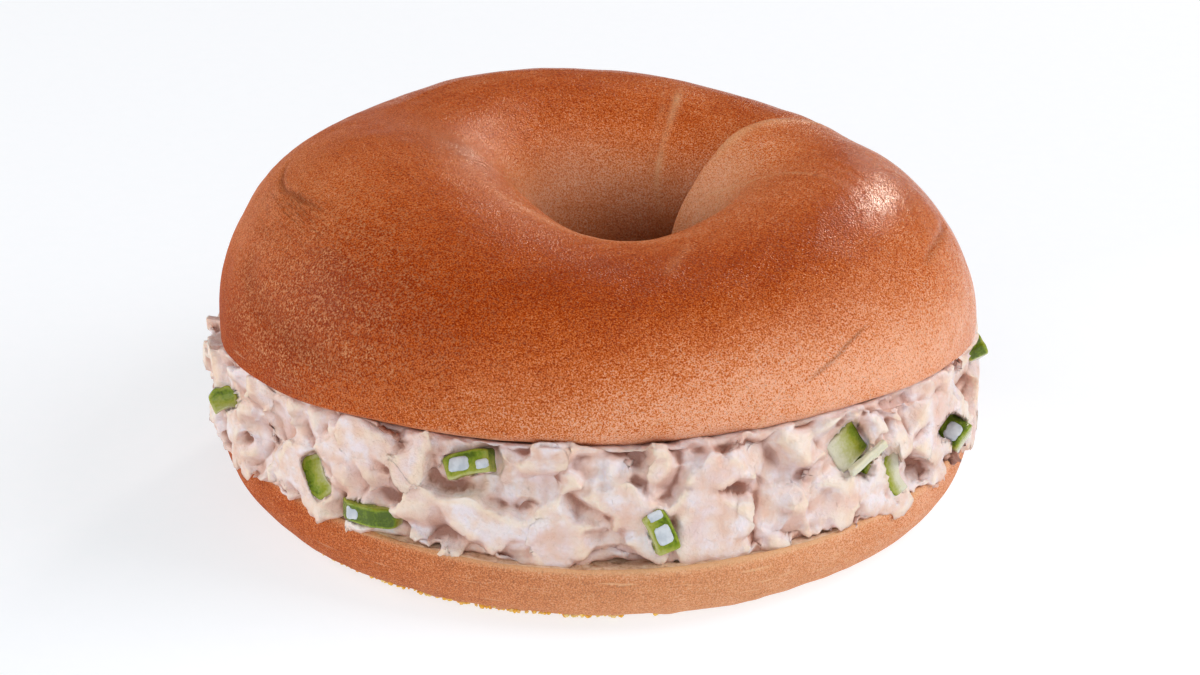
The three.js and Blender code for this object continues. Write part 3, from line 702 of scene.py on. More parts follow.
def makeBottom():
    # section in rows: quarter ellipse from the foot to the rim, a small round over the edge, the level cut
    # face, the hole's wall that flares at its foot, and the underside
    print("lower half")
    spec = bottomBread
    azimuth = np.linspace(-180, 180, spec["columns"] + 1)[:, None]
    angle = np.radians(azimuth)
    rim, inner, top = lowerRadius(angle), holeRadius(angle), lowerTop(angle)
    foot = lower["baseRadius"] / lower["radius"] * rim
    swing = np.linspace(0, np.pi / 2, spec["sideRows"])[None, :]
    over = np.linspace(0, np.pi / 2, spec["rimRows"] + 1)[None, 1:]
    inward = np.linspace(0, 1, spec["faceRows"] + 1)[None, 1:] ** spec["faceCrowd"]
    down = np.linspace(0, 1, spec["wallRows"] + 1)[None, 1:]
    out = np.linspace(0, 1, spec["baseRows"] + 1)[None, 1:-1]
    level, bent = 1 - lower["flareLevel"], lower["flareStart"]
    flare = np.where(down < level, bent * down / level, mix(bent, 1, (down - level) / lower["flareLevel"]))
    edge = rim - spec["rimRound"]
    r = np.concatenate([mix(foot, rim, np.sin(swing)), mix(edge, rim, np.cos(over)), mix(edge, inner, inward),
                        inner + lower["footFlare"] * flare, mix(inner + lower["footFlare"], foot, out)], 1)
    z = np.concatenate([
        (top - spec["rimRound"]) * (1 - np.cos(swing)), top - spec["rimRound"] * (1 - np.sin(over)),
        top + 0 * inward, top * (1 - down), 0 * (out + angle)], 1)
    bread = placeLower(r, z, angle)

    row = np.arange(r.shape[1])
    sideEnd = spec["sideRows"] + spec["rimRows"]
    faceEnd = sideEnd + spec["faceRows"]
    sides, face = row < sideEnd, (row >= sideEnd) & (row < faceEnd)
    wall = (row >= faceEnd) & (row < faceEnd + spec["wallRows"])
    low = bump(z, spec["footReach"]) * sides
    fromRim = rim - r
    fibre = np.stack([azimuth / 9 + 0 * r, z / 1.3, 0 * r], -1)
    height = spec["fibreHeight"] * roughness(fibre, 1.0, 33, 2)
    for salt, (size, tall) in enumerate(spec["swell"], 31):
        height += tall * latticeNoise(bread, size, salt)
    # the edge that stood on the tray is uneven, and its skin is broken
    height = sides * height - low * spec["footBreak"] * (1 + roughness(bread, spec["breakCell"], 34, 2))
    # cut face: torn crumb, open pores, and a slight hollow behind the rim
    pores = spec["poreDepth"] * np.minimum(roughness(bread, spec["poreCell"], 35, 3) + 0.15, 0.25)
    height += face * (pores - spec["hollow"] * smoothStep(fromRim / 5)) * smoothStep(fromRim / 1.2)
    height += wall * spec["wallHeight"] * roughness(bread, 3.2, 36, 2)
    bread = raiseGrid(bread, height)
    bread[..., 2] = np.maximum(bread[..., 2], 0)

    across = np.cumsum(np.hypot(np.diff(r, axis=1), np.diff(z, axis=1)), 1)
    across = np.concatenate([0 * r[:, :1], across, across[:, -1:]], 1)
    along = angle * spec["ringRadius"] + 0 * across
    # in front it is paler, a greyer tan
    front = bump(wrapDegrees(azimuth - spec["frontTurn"]), spec["frontSpan"])
    turned = 0.5 + 0.5 * np.cos(angle - np.radians(spec["bakeTurn"]))
    bake = mix(spec["bakeLeft"], spec["bakeRight"], smoothStep(turned)) + spec["frontBake"] * front
    bake = bake + spec["edgeBake"] * (low + bump(z - top, 0.8) * sides)
    pale = spec["footPale"] * low + sides * (spec["rimPale"] * bump(z - top, 0.5) + spec["frontPale"] * front)
    pale += spec["facePale"] * face * bump(fromRim, 1.0)
    torn = spec["torn"] * sides * (0.35 + 0.65 * front)
    looks = {"bake": bake + 0 * r, "pale": pale, "torn": torn + 0 * r, "dull": spec["dull"] * sides + 0 * r,
             "dots": spec["dots"] * sides + 0 * r}
    cut = (row >= sideEnd - 1) & (row < faceEnd)
    bakeBread("lower_half", "cut_bagel", "bagel_bottom", bread, along, across, looks, cut)


makeBottom()

# Each die: width across the stalk, thickness and length in mm, azimuth, turns in degrees. flesh scales how
# soon the green skin gives way to pale flesh, skinSide turns the skin's side about the stalk, open is the
# share of its outline that the salad leaves free in front. pads are dabs of dressing on the outer cut end,
# or on the skin: x, y, width, height in mm. bow and rib take the place of the stalk's own.
celeryPieces = [
    {"size": (4.2, 3.2, 5.2), "angle": -160, "turn": (10, 70, 20), "flesh": 0.4},
    {"size": (6.6, 3.4, 4.0), "angle": -134, "turn": (21, 7, 126), "flesh": 0.45, "open": 1.0},
    {"size": (9.4, 3.0, 2.9), "angle": -124, "turn": (84, 4, -3), "flesh": 0.8, "open": 1.0,
     "padsOnSkin": True,
     "pads": ((-1.7, 0.0, 2.2, 2.1),)},
    {"size": (7.2, 3.3, 4.0), "angle": -108, "turn": (-22, 0, 20), "flesh": 0.3, "bow": 0.05, "rib": 0.01,
     "pads": ((-1.05, 0.05, 3.2, 2.0), (2.4, -0.6, 1.9, 1.3))},
    {"size": (6.4, 3.3, 4.2), "angle": -80.3, "turn": (-10, -18, -70), "flesh": 0.3, "bow": 0.05, "rib": 0.01,
     "pads": ((-2.4, 0.0, 1.3, 2.1), (0.45, 0.0, 2.7, 2.3))},
    {"size": (5.8, 2.8, 5.2), "angle": -49.3, "turn": (76, 2, 27), "flesh": 1.0, "skinSide": -90, "open": 1.1,
     "bow": 0.05, "rib": 0.01},
    {"size": (6.2, 2.6, 4.0), "angle": -40.4, "turn": (-10, 18, 99), "flesh": 1.2, "open": 1.25},
    {"size": (2.2, 1.6, 2.4), "angle": -45.8, "turn": (10, 0, 60), "flesh": 0.9, "open": 1.2},
    {"size": (4.6, 3.0, 3.8), "angle": -21, "turn": (10, -20, 40), "flesh": 1.0, "padsOnSkin": True,
     "pads": ((-0.4, 0.1, 2.9, 2.3),)},
    {"size": (3.6, 2.6, 3.2), "angle": -8, "turn": (0, 30, 55), "flesh": 1.4},
    {"size": (6.2, 3.2, 4.4), "angle": 12, "turn": (10, 15, 100)},
    {"size": (7.2, 3.2, 4.2), "angle": 34, "turn": (12, 0, -14), "flesh": 0.4,
     "pads": ((-1.5, 0.2, 2.4, 2.0),)},
    {"size": (5.4, 3.0, 4.4), "angle": 58, "turn": (70, 12, 30)},
    {"size": (6.4, 3.0, 4.0), "angle": 83, "turn": (0, 10, 8), "flesh": 0.4, "pads": ((1.4, 0.2, 2.4, 1.9),)},
    {"size": (5.0, 2.8, 4.2), "angle": 108, "turn": (16, 0, 62)},
    {"size": (6.8, 3.2, 4.4), "angle": 132, "turn": (-12, 14, -6), "flesh": 0.4,
     "pads": ((-1.2, 0.2, 2.6, 2.0),)},
    {"size": (5.6, 3.2, 4.0), "angle": 156, "turn": (76, 0, 20)},
    {"size": (6.2, 3.2, 4.4), "angle": 171, "turn": (8, -12, 84)},
    {"size": (1.3, 0.8, 7.4), "angle": -48, "turn": (90, 0, -70), "bare": 1.0},
]
stalk = {"bow": 0.16, "ribs": 2, "ribDepth": 0.05, "hollowWidth": 0.9, "hollowBow": 0.8, "skinPoints": 30,
         "sidePoints": 8, "soften": 3, "rings": 12, "edgeRound": 0.28, "edgeGlow": 0.16, "wobble": 0.09,
         "wobbleCell": 1.3}


def freshCelery(add, place, level):
    # raw diced celery: wet and crisp, a thin dark green ribbed skin over pale, watery, stringy flesh that
    # lets light in, so cut edges glow yellow-green
    fields = []
    for size, amount in ((0.35, 0.24), (1.4, 0.40)):
        fields.append(add("TexNoise", {"Vector": place, "Scale": 1 / (size * mm)}))
        swing = add("Math", {0: fields[-1], 1: 0.5}, operation="SUBTRACT")
        level = add("Math", {0: swing, 1: amount, 2: level}, operation="MULTIPLY_ADD")
    tone = add("ValToRGB", {"Fac": level}, stops=(
        (0.0, "#52690a"), (0.12, "#78901a"), (0.3, "#9ea53a"), (0.55, "#b9bb83"), (0.85, "#d6d5bf")))
    relief = add("Bump", {"Height": fields[0], "Distance": 0.12 * mm})
    return {"Base Color": tone, "Roughness": 0.22, "Normal": relief, "IOR": 1.37, "Subsurface Weight": 0.35,
            "Subsurface Radius": (1.0, 0.95, 0.4), "Subsurface Scale": 1.2 * mm, "Coat Weight": 0.2,
            "Coat Roughness": 0.12}


def stalkOutline(width, thickness, bend, ribbed):
    # anticlockwise round the stalk's section: right cut side, ribbed skin, left cut side, hollow inner side;
    # each point is then drawn towards its neighbours a few times, which rounds the corners
    bow = bend * width
    share = np.linspace(1, 0, stalk["skinPoints"])
    arch = bow * (1 - (2 * share - 1) ** 2)
    rib = ribbed * thickness * np.cos(turnRound * stalk["ribs"] * share)
    skin = np.stack([(share - 0.5) * width, arch - rib + thickness / 2 - bow / 2], -1)
    hollow = np.stack([(share - 0.5) * width * stalk["hollowWidth"],
                       arch * stalk["hollowBow"] - thickness / 2 - bow / 2], -1)[::-1]
    part = np.linspace(0, 1, stalk["sidePoints"] + 2)[1:-1, None]
    outline = np.concatenate([skin, mix(skin[-1], hollow[0], part), hollow, mix(hollow[-1], skin[0], part)])
    for _ in range(stalk["soften"]):
        outline = outline * 0.5 + (np.roll(outline, 1, 0) + np.roll(outline, -1, 0)) * 0.25
    return outline


def turnMatrix(x, y, z):  # turns in radians applied as Z, then X, then Y about the piece's own axes
    cosX, sinX, cosY, sinY, cosZ, sinZ = (f(v) for v in (x, y, z) for f in (np.cos, np.sin))
    aboutX = np.array([[1, 0, 0], [0, cosX, -sinX], [0, sinX, cosX]])
    aboutY = np.array([[cosY, 0, sinY], [0, 1, 0], [-sinY, 0, cosY]])
    aboutZ = np.array([[cosZ, -sinZ, 0], [sinZ, cosZ, 0], [0, 0, 1]])
    return aboutZ @ aboutX @ aboutY


def outwardMatrix(angle):  # own X along the ring, own Y up, own Z outwards
    return np.array([[-np.sin(angle), 0, np.cos(angle)], [np.cos(angle), 0, np.sin(angle)], [0, 1, 0]])


def celeryTurn(spec):
    return outwardMatrix(np.radians(spec["angle"])) @ turnMatrix(*np.radians(spec["turn"]))


def makeCelery():
    # rings of the outline: out over the near cut face, round its edge, along the stalk, back over the far
    # face
    print("celery")
    celerySkin = makeMaterial("rawDicedCelery", freshCelery, "depth")
    for number, spec in enumerate(celeryPieces, 1):
        node = f"celery_{number:02d}"
        width, thickness, length = spec["size"]
        bend = spec.get("bow", stalk["bow"])
        outline = stalkOutline(width, thickness, bend, spec.get("rib", stalk["ribDepth"]))
        middle = outline.mean(0)
        soft = min(stalk["edgeRound"], 0.2 * thickness)
        capShare = np.array([0.25, 0.5, 0.72, 0.88])
        arc = np.linspace(0, np.pi / 2, 4)
        inset = 1 - soft * (1 - np.sin(arc)) / (0.5 * thickness)
        edge = soft * (1 - np.cos(arc))
        side = np.linspace(soft, length - soft, stalk["rings"])[1:-1]
        cap = capShare * inset[0]
        scale = np.concatenate([cap, inset, np.ones(len(side)), inset[::-1], cap[::-1]])
        along = np.concatenate([0 * cap, edge, side, length - edge[::-1], 0 * cap + length]) - length / 2
        rings = middle + scale[:, None, None] * (outline - middle)
        rings = np.concatenate([rings, np.broadcast_to(along[:, None, None], (*rings.shape[:2], 1))], -1)
        local = np.concatenate([[[*middle, -length / 2]], rings.reshape(-1, 3), [[*middle, length / 2]]])
        # depth is how far a point lies under the skin, as a share of the way across
        facing = np.radians(90 + spec.get("skinSide", 0))
        bow = bend * width * (1 - np.clip(2 * local[:, 0] / width, -1, 1) ** 2 - 0.5)
        across = local[:, 0] * np.cos(facing) + (local[:, 1] - bow) * np.sin(facing)
        reach = abs(width * np.cos(facing)) + abs(thickness * np.sin(facing))
        depth = np.clip(0.5 - across / reach, 0, 1)
        depth = mix(depth * spec.get("flesh", 1), 0.9, spec.get("bare", 0))
        # painted light: the thin edges of the cut faces are painted paler, for the light that gets through
        # them
        rim = np.concatenate([0 * cap, 0 * edge + 1, 0 * side, 0 * edge + 1, 0 * cap]) * stalk["edgeGlow"]
        depth = depth + np.concatenate([[0], np.repeat(rim, len(outline)), [0]])
        wobble = [latticeNoise(local + number * 9, stalk["wobbleCell"], salt) for salt in (41, 42, 43)]
        wobble = np.stack(wobble, -1)
        turned = (local + stalk["wobble"] * wobble) @ celeryTurn(spec).T
        # the piece sits where the frame's box for it is
        turned = turned + boxMiddle(node) - (turned.min(0) + turned.max(0)) / 2
        spec["centre"] = turned.mean(0)
        quads, triangles = shellFaces(len(scale), len(outline))
        piece = meshPiece(f"diced_{node}", turned, quads, triangles)
        putAttribute(piece, "depth", depth)
        finishPiece(piece, "celery", [node], celerySkin)


makeCelery()

salad = {"radius": 54.2, "outline": [[1, 0.012, -90], [2, 0.03, 0]], "waist": 2.2, "holeGap": 2.0,
         "holeBite": 2.6, "bite": 0.6, "spread": 2.8, "spreadIn": 0.35, "slump": 1.2, "backStart": -2,
         "backSpan": 190, "backLumps": 40, "holeLumps": 12, "lumpLength": (7.5, 13), "lumpWidth": (5.2, 8.2),
         "lumpDepth": (3.6, 5.6), "lean": 1.6, "leanRoom": 1.2, "cornerSpare": 0.85, "yaw": 0.9,
         "coreClearance": 0.7, "breadClearance": 0.2, "soaked": 0.35, "sag": 1.4, "sagStart": -0.6,
         "sagRun": 3.0, "holeRoom": 1.0, "farthest": 3.0, "pullBack": 0.9, "drawIn": 0.7, "drawMost": 1.5}
# the largest lumps, where the halves gape: azimuth, share of the gap's height, how far outside the core's
# rim, length, width, lean in degrees
largest = [
    (-171, 0.7, 0.6, 9, 6, 70), (-162, 0.3, 1.4, 7, 5, 20), (-152, 0.55, 1.2, 10, 6.5, 80),
    (-142, 0.28, 1.6, 8, 6, 30), (-136, 0.8, 0, 10, 6, -15), (-126, 0.85, -0.4, 11, 5, -12),
    (-125, 0.52, 1, 10, 7, 0), (-116, 0.72, 0, 9, 6.5, 60), (-113.5, 0.3, 1.8, 12, 7, 18),
    (-104.5, 0.6, 0.8, 10, 5, -6), (-105, 0.22, 1.4, 8.5, 6, 35), (-96.5, 0.8, -0.3, 6, 5, 60),
    (-93, 0.62, 0.8, 10, 8.5, 40), (-91, 0.26, 2, 11.5, 7.5, 28), (-87, 0.85, -0.5, 7, 5, -20),
    (-81, 0.68, 0.8, 8.5, 6, 8), (-84, 0.18, 2, 8, 5.5, -62), (-74, 0.26, 1.8, 10, 7.5, 15),
    (-74.5, 0.74, 0, 9, 6, -25), (-67.5, 0.84, -0.3, 5.5, 4.5, 30), (-64.5, 0.5, 1, 12, 6.5, 35),
    (-59, 0.14, 1.8, 7.5, 5, 10), (-53, 0.46, 1.4, 7, 4.5, -30), (-54.5, 0.2, 1.6, 9.5, 5, 20),
    (-47, 0.86, 0, 8, 4, 20), (-37, 0.6, 0.6, 10.5, 6, 78), (-30, 0.16, 1.4, 6.5, 4.5, -20),
    (-24, 0.38, 0.8, 8, 6, 60), (-20, 0.66, 1, 7, 5, 15), (-9, 0.55, 1.4, 8, 6, 70),
]
# lumps, plates and flakes have a shape (rings, points round, flats, crispness, lumpiness, raggedness), sizes
# in mm and a tip off their own Z. facets are flats that the surface is drawn to: mm across, share,
# crispness; planeLayers are broken planes laid on it: mm across, mm high, mm that they rise, crispness, mm
# that they are cut in
chunk = {"lump": {"shape": (17, 26, 9, 22.0, 0.07, 0.05), "fullness": 1.12, "tintReach": 2.4, "tintOut": 1.5},
         "plate": {"count": 240, "shape": (11, 18, 9, 22.0, 0.07, 0.12), "length": (5.0, 9.5),
                   "width": (3.4, 6.2), "depth": (1.6, 3.0), "tip": 0.42, "out": (-0.2, 1.7), "topOut": 1.4,
                   "tintReach": 1.8},
         "flake": {"onLumps": 170, "onTop": 60, "atFoot": 130, "shape": (9, 14, 6, 9.0, 0.12, 0.12),
                   "length": (3.0, 8.0), "width": (1.8, 4.4), "depth": (0.7, 1.6), "tip": 0.25, "sink": 0.16,
                   "footOut": (-0.015, 0.025), "footBare": (-127, 9), "tintReach": 0.9},
         "coreOut": 1.7, "coreDrawn": 0.2, "coreHigh": 1.6, "coreColumns": 300, "coreRows": 16,
         "voxel": 0.36, "close": 0.6, "triangles": 192000, "soften": 0.5,
         "facets": ((6.0, 0.45, 11), (3.2, 0.4, 12)), "facetTint": 0.3,
         "planeLayers": ((8.5, 1.0, 5.0, 20, 0.8), (4.6, 0.45, 2.6, 18, 0.4), (2.2, 0.15, 0.8, 14, 0.1)),
         "hollow": -1.1, "hollowFilled": 0.5, "fibre": (0.9, 0.06), "ridgeReach": 15, "fillReach": 15,
         "fillDepth": 0.8, "fill": 0.5, "ridgeRange": 0.9, "contact": (0.5, 0.35, 0.3), "socketEdge": 0.12}


def saladRadius(angle):
    return salad["radius"] * (1 + wave(angle, salad["outline"]))


def gapHeights(angle, r, spare):
    return lowerTop(angle) + spare, ceiling(angle, r) - spare


def lumpTable():
    # every lump by the frame's rule: azimuth, distance out, height, length, width, depth, lean and yaw
    first = np.array(largest, float)
    count = len(first) + salad["backLumps"] + salad["holeLumps"]
    item = np.arange(count)
    later = item[len(first):]
    back = later < len(first) + salad["backLumps"]
    turn, share = evenly(later)
    laterAngle = np.where(back, np.radians(salad["backStart"] + turn * salad["backSpan"]), turn * turnRound)
    out = salad["spread"] * (scatter(later, 7) - salad["spreadIn"]) + salad["slump"] * (0.5 - share)
    inHole = holeRadius(laterAngle) + salad["holeGap"] + salad["holeBite"]
    laterR = np.where(back, saladRadius(laterAngle) + out, inHole)
    angle = np.concatenate([np.radians(first[:, 0]), laterAngle])
    r = np.concatenate([saladRadius(np.radians(first[:, 0])) + first[:, 2] - salad["bite"], laterR])
    share = np.concatenate([first[:, 1], share])
    length = np.concatenate([first[:, 3], mix(*salad["lumpLength"], scatter(later, 2))])
    width = np.concatenate([first[:, 4], mix(*salad["lumpWidth"], scatter(later, 3))])
    lean = np.concatenate([np.radians(first[:, 5]), (scatter(later, 5) - 0.5) * salad["lean"]])
    depth = mix(*salad["lumpDepth"], scatter(item, 4))
    yaw = (scatter(item, 6) - 0.5) * salad["yaw"]
    low, high = gapHeights(angle, r, salad["coreClearance"])
    room = high - low
    width = np.minimum(width, room)
    steepest = np.arcsin(np.minimum(1, salad["leanRoom"] * room / length))
    lean = np.clip(lean, -steepest, steepest)
    reach = 0.5 * np.hypot(width * np.cos(lean), length * np.sin(lean))
    swing = np.maximum(0, room / 2 - salad["cornerSpare"] * reach)
    height = np.clip(low + room * share, (low + high) / 2 - swing, (low + high) / 2 + swing)
    return angle, r, height, length, width, depth, lean, yaw


def facingMatrices(outward, random, tip):
    # own Z along outward, tipped at random by a little, own X turned at random about it
    outward = unit(unit(outward) + random.normal(size=outward.shape) * tip)
    along = unit(np.cross(random.normal(size=outward.shape), outward))
    return np.stack([along, np.cross(outward, along), outward], -1)


def sphereDirections(rings, around):
    # pole, rings of directions, pole, so that shellFaces closes them
    down = np.linspace(np.pi, 0, rings + 2)[1:-1, None]
    azimuth = np.linspace(0, turnRound, around, endpoint=False)[None, :]
    ring = polar(np.sin(down), azimuth, np.cos(down) + 0 * azimuth).reshape(-1, 3)
    return np.concatenate([[[0, 0, -1]], ring, [[0, 0, 1]]])


def brokenLumps(halves, random, shape):
    # each lump is a ball pressed flat by six box faces and some random planes: the radius along a direction d
    # is 1 / (sum over planes of max(0, d.n / h) ** norm) ** (1 / norm), then noise makes it lumpy and ragged
    rings, around, planes, norm, lumpy, ragged = shape
    directions = sphereDirections(rings, around)
    count = len(halves)
    facing = unit(random.normal(size=(count, planes, 3)))
    away = random.uniform(0.72, 1.1, (count, planes))
    box = np.concatenate([np.eye(3), -np.eye(3)])
    total = (np.maximum(directions @ box.T, 0) ** norm).sum(-1)[None]
    leaning = np.maximum(np.einsum("vk,cpk->cvp", directions, facing), 0) / away[:, None]
    radius = (total + (leaning ** norm).sum(-1)) ** (-1 / norm)
    start = random.uniform(0, 50, (count, 1, 3))
    if lumpy:
        radius = radius * (1 + lumpy * latticeNoise(directions[None] * 1.6 + start, 1.0, 51))
    if ragged:
        torn = directions[None] * 4.5 * (0.6, 1.2, 1.2) + start
        radius = radius * (1 + ragged * roughness(torn, 1.0, 52, 2))
    return directions[None] * radius[..., None] * halves[:, None, :]


def brokenBits(spec, centres, towards, random):
    # flat bits, their length, width and depth drawn at random, with their own Z along towards
    sizes = [random.uniform(*spec[key], len(centres)) for key in ("length", "width", "depth")]
    bits = brokenLumps(np.stack(sizes, -1) / 2, random, spec["shape"])
    return np.einsum("cij,cvj->cvi", facingMatrices(towards, random, spec["tip"]), bits) + centres[:, None]


def underSkirt(points):
    # how far the upper half's underside has risen over its cut face: the skirt goes out and up to the rim by
    # skirt * (1 - sin(s) / sin(skirtTurn)), where r = middle + half * cos(s); past the rim it counts for less
    x, y = points[..., 0] - upper["x"], points[..., 1] - upper["y"]
    angle = np.arctan2(y, x)
    outer, inner = upperRadius(angle), holeRadius(angle)
    r = np.hypot(x, y)
    across = np.clip((2 * r - outer - inner) / (outer - inner), 0, 1)
    lift = 1 - np.sqrt(1 - across ** 2) / np.sin(np.radians(upper["skirtTurn"]))
    return upperSkirt(angle) * np.maximum(lift, 0) * (1 - 0.6 * smoothStep((r - outer + 1) / 1.5))


def keepInGap(points):
    # pressed flat under the upper half and over the lower one; outside their rims it may sag or bulge a
    # little. What is pressed is drawn in by a share of that, so that no thin lip is left, and so is what
    # lies past the farthest reach
    angle = np.arctan2(points[..., 1], points[..., 0])
    r = np.hypot(points[..., 0], points[..., 1])
    sagging = smoothStep((r - lowerRadius(angle) - salad["sagStart"]) / salad["sagRun"])
    low = lowerTop(angle) - salad["soaked"] - salad["sag"] * sagging
    high = ceiling(angle, r) - salad["breadClearance"] + underSkirt(points)
    push = np.maximum(0, holeRadius(angle) + salad["holeRoom"] - r)
    push -= salad["pullBack"] * np.maximum(0, r - saladRadius(angle) - salad["farthest"])
    pressed = np.maximum(points[..., 2] - high, 0) + np.maximum(low - points[..., 2], 0)
    push -= salad["drawIn"] * np.minimum(pressed, salad["drawMost"]) * ramp(r, 50, 3)
    return np.stack([points[..., 0] + push * np.cos(angle), points[..., 1] + push * np.sin(angle),
                     np.clip(points[..., 2], low, high)], -1)


def coreRing(columns, rows):
    # the ring between the halves: its outer side is hardly drawn in where it meets them, and its inner side
    # by half of the waist
    angle = np.linspace(-np.pi, np.pi, columns, endpoint=False)[:, None]
    share = np.linspace(0, 1, rows)[None, :]
    drawn = salad["waist"] * chunk["coreDrawn"]
    outer = saladRadius(angle) + chunk["coreOut"] - drawn * (2 * share - 1) ** 2
    inner = holeRadius(angle) + salad["holeGap"] + 0.5 * salad["waist"] * (2 * share - 1) ** 2
    low, high = gapHeights(angle, outer, 0.4)
    lowIn, highIn = gapHeights(angle, inner, 0.4)
    r = np.concatenate([outer, inner[:, ::-1]], 1)
    z = np.concatenate([mix(low, high + chunk["coreHigh"], share), mix(lowIn, highIn, share)[:, ::-1]], 1)
    return keepInGap(polar(r, angle, z)), ringFaces(columns, 2 * rows)


def clearOfCelery(points):
    # salad in front of the side of a die that shows is pressed back just under that side, within its
    # outline, as seen from the front or, for a die that doesn't show there, from outside; then points inside
    # the die move out through the nearest of its other sides
    for spec in celeryPieces:
        angle, turn = np.radians(spec["angle"]), celeryTurn(spec)
        half = np.array(spec["size"]) / 2
        radial = np.array([np.cos(angle), np.sin(angle), 0.4])
        toward = np.array(camera["place"]) + shift - spec["centre"]
        toward = toward / np.linalg.norm(toward)
        frontal = (toward if toward @ radial > 0.35 else radial / np.linalg.norm(radial)) @ turn
        main = np.abs(frontal).argmax()
        others = [k for k in range(3) if k != main]
        local = (points - spec["centre"]) @ turn
        out = (local[:, main] * np.sign(frontal[main]) - half[main]) / abs(frontal[main])
        onSide = (local - out[:, None] * frontal)[:, others] / (half[others] * spec.get("open", 0.92))
        near = (onSide ** 4).sum(-1) ** 0.25
        fade = smoothStep((1 - near) / chunk["socketEdge"] + 1)
        sunk = 0.4 + (spec.get("bow", stalk["bow"]) * spec["size"][0] if main == 1 else 0)
        local = local - frontal * (np.maximum(0, out + sunk) * fade)[:, None]
        spare = half + 0.12 - np.abs(local)
        way = np.eye(3)[spare.argmin(-1)] * np.sign(local)
        inside = (spare.min(-1) > 0) & (way @ frontal < 0.3)
        local = np.where(inside[:, None], local + way * spare.min(-1, keepdims=True), local)
        points = local @ turn.T + spec["centre"]
    return points


def dressedChicken(add, place, ridge, tint, settled):
    # pulled and diced chicken in mayonnaise: wet and satiny, lavender-white where dressing coats it, cream
    # along the torn edges, peach where meat shows, pink-brown down in the clefts, partly meat and partly
    # painted shade; what faces up is painted paler, a painted highlight, and what faces down darker, painted
    # shade
    cloud = add("TexNoise", {"Vector": place, "Scale": 1 / (3.2 * mm), "Detail": 3, "Roughness": 0.55})
    fibre = add("TexNoise", {"Vector": place, "Scale": 1 / (0.7 * mm), "Detail": 3, "Roughness": 0.6,
                             "Distortion": 0.6})
    # small torn flakes: cells with wavy edges, each at a level of its own
    warp = add("TexNoise", {"Vector": place, "Scale": 1 / (1.4 * mm), "Detail": 2})
    warp = add("VectorMath", {0: warp.outputs["Color"], 1: (0.5, 0.5, 0.5)}, operation="SUBTRACT")
    warp = add("VectorMath", {0: warp, 1: (2 * mm, 2 * mm, 2 * mm), 2: place}, operation="MULTIPLY_ADD")
    flake = add("TexVoronoi", {"Vector": warp, "Scale": 1 / (2.2 * mm)}).outputs["Color"]
    tone = add("ValToRGB", {"Fac": cloud}, stops=((0.34, "#e9c8b6"), (0.46, "#eed8cf"), (0.6, "#f2e9ee")))
    # painted shade: low ridge paints clefts and contact with the bread pink-brown, the deepest clefts dark
    # brown
    tone = layCoats(add, tone,
                    (tint, 0.55, 0.85, 0.2, None, "#f4e2d0"), (tint, 0.45, 0.15, 0.6, None, "#e6bcab"),
                    (flake, 0.6, 0.8, 0.2, None, "#f2dccb"), (ridge, 0.60, 0.80, 0.55, None, "#f8e6cc"),
                    (fibre, 0.55, 0.8, 0.3, None, "#e8bea8"), (settled, 0.6, 0.85, 0.45, None, "#f3eef3"),
                    (settled, 0.5, 0.25, 0.65, None, "#d3a18d"), (ridge, 0.40, 0.16, 0.6, None, "#d2a290"),
                    (ridge, 0.18, 0.0, 0.75, None, "#8e523a"))
    relief = None
    for height, depth in ((cloud, 0.5), (flake, 0.3), (fibre, 0.25)):
        relief = add("Bump", {"Height": height, "Distance": depth * mm, "Normal": relief})
    return {"Base Color": tone, "Roughness": 0.3, "Normal": relief, "IOR": 1.4, "Specular IOR Level": 0.4,
            "Subsurface Weight": 0.15, "Subsurface Radius": (1.0, 0.55, 0.4), "Subsurface Scale": 1.0 * mm,
            "Coat Weight": 0.16, "Coat Roughness": 0.2}


def drawFlat(spots, normals, belt, random, cell, share, crisp):
    # seeds lie at random on the belt, about cell mm apart. Each one's plane is the mean place and the mean
    # normal of the surface about it, weighed by exp(-2 * (distance / cell) ** 2); a point is drawn by share
    # towards the planes near it, weighed by exp(-crisp * (distance / cell) ** 2), so that flats meet in
    # edges. Also gives each point its flat's own number from 0 to 1.
    azimuth = np.arctan2(spots[:, 1], spots[:, 0])
    order = np.argsort(azimuth)
    ring = np.concatenate([azimuth[order] + step for step in (-turnRound, 0, turnRound)])
    order = np.tile(order, 3)
    pull, number, weights = np.zeros_like(spots), np.zeros(len(spots)), np.full(len(spots), 1e-5)
    beltRadius, beltHeight = 56, 17
    seeds = random.choice(np.flatnonzero(belt), int(turnRound * beltRadius * beltHeight / cell ** 2))
    for seed in seeds:
        start, end = np.searchsorted(ring, azimuth[seed] + np.array([-1.8, 1.8]) * cell / 50)
        near = order[start:end]
        apart = ((spots[near] - spots[seed]) ** 2).sum(-1) / cell ** 2
        agree = np.clip(normals[near] @ normals[seed], 0, 1)
        wide = (np.exp(-2 * apart) * agree)[:, None]
        centre = (wide * spots[near]).sum(0) / wide.sum()
        facing = (wide * normals[near]).sum(0)
        facing = facing / np.linalg.norm(facing)
        sharp = np.exp(-crisp * apart) * agree
        pull[near] += (sharp * ((centre - spots[near]) @ facing))[:, None] * facing
        number[near] += sharp * random.uniform()
        weights[near] += sharp
    return spots + share * pull / weights[:, None], number / weights


def applyModifiers(piece):
    bpy.context.view_layer.update()
    graph = bpy.context.evaluated_depsgraph_get()
    made = bpy.data.meshes.new_from_object(piece.evaluated_get(graph))
    old = piece.data
    piece.modifiers.clear()
    piece.data = made
    made.name = old.name
    bpy.data.meshes.remove(old)


def readPoints(mesh, what):
    values = np.empty(len(mesh.vertices) * 3, np.float32)
    mesh.vertices.foreach_get(what, values)
    return values.reshape(-1, 3).astype(float)


def normalsAt(mesh, points):  # moves the mesh's points there too
    mesh.vertices.foreach_set("co", (points * mm).astype(np.float32).ravel())
    mesh.update()
    return readPoints(mesh, "normal")


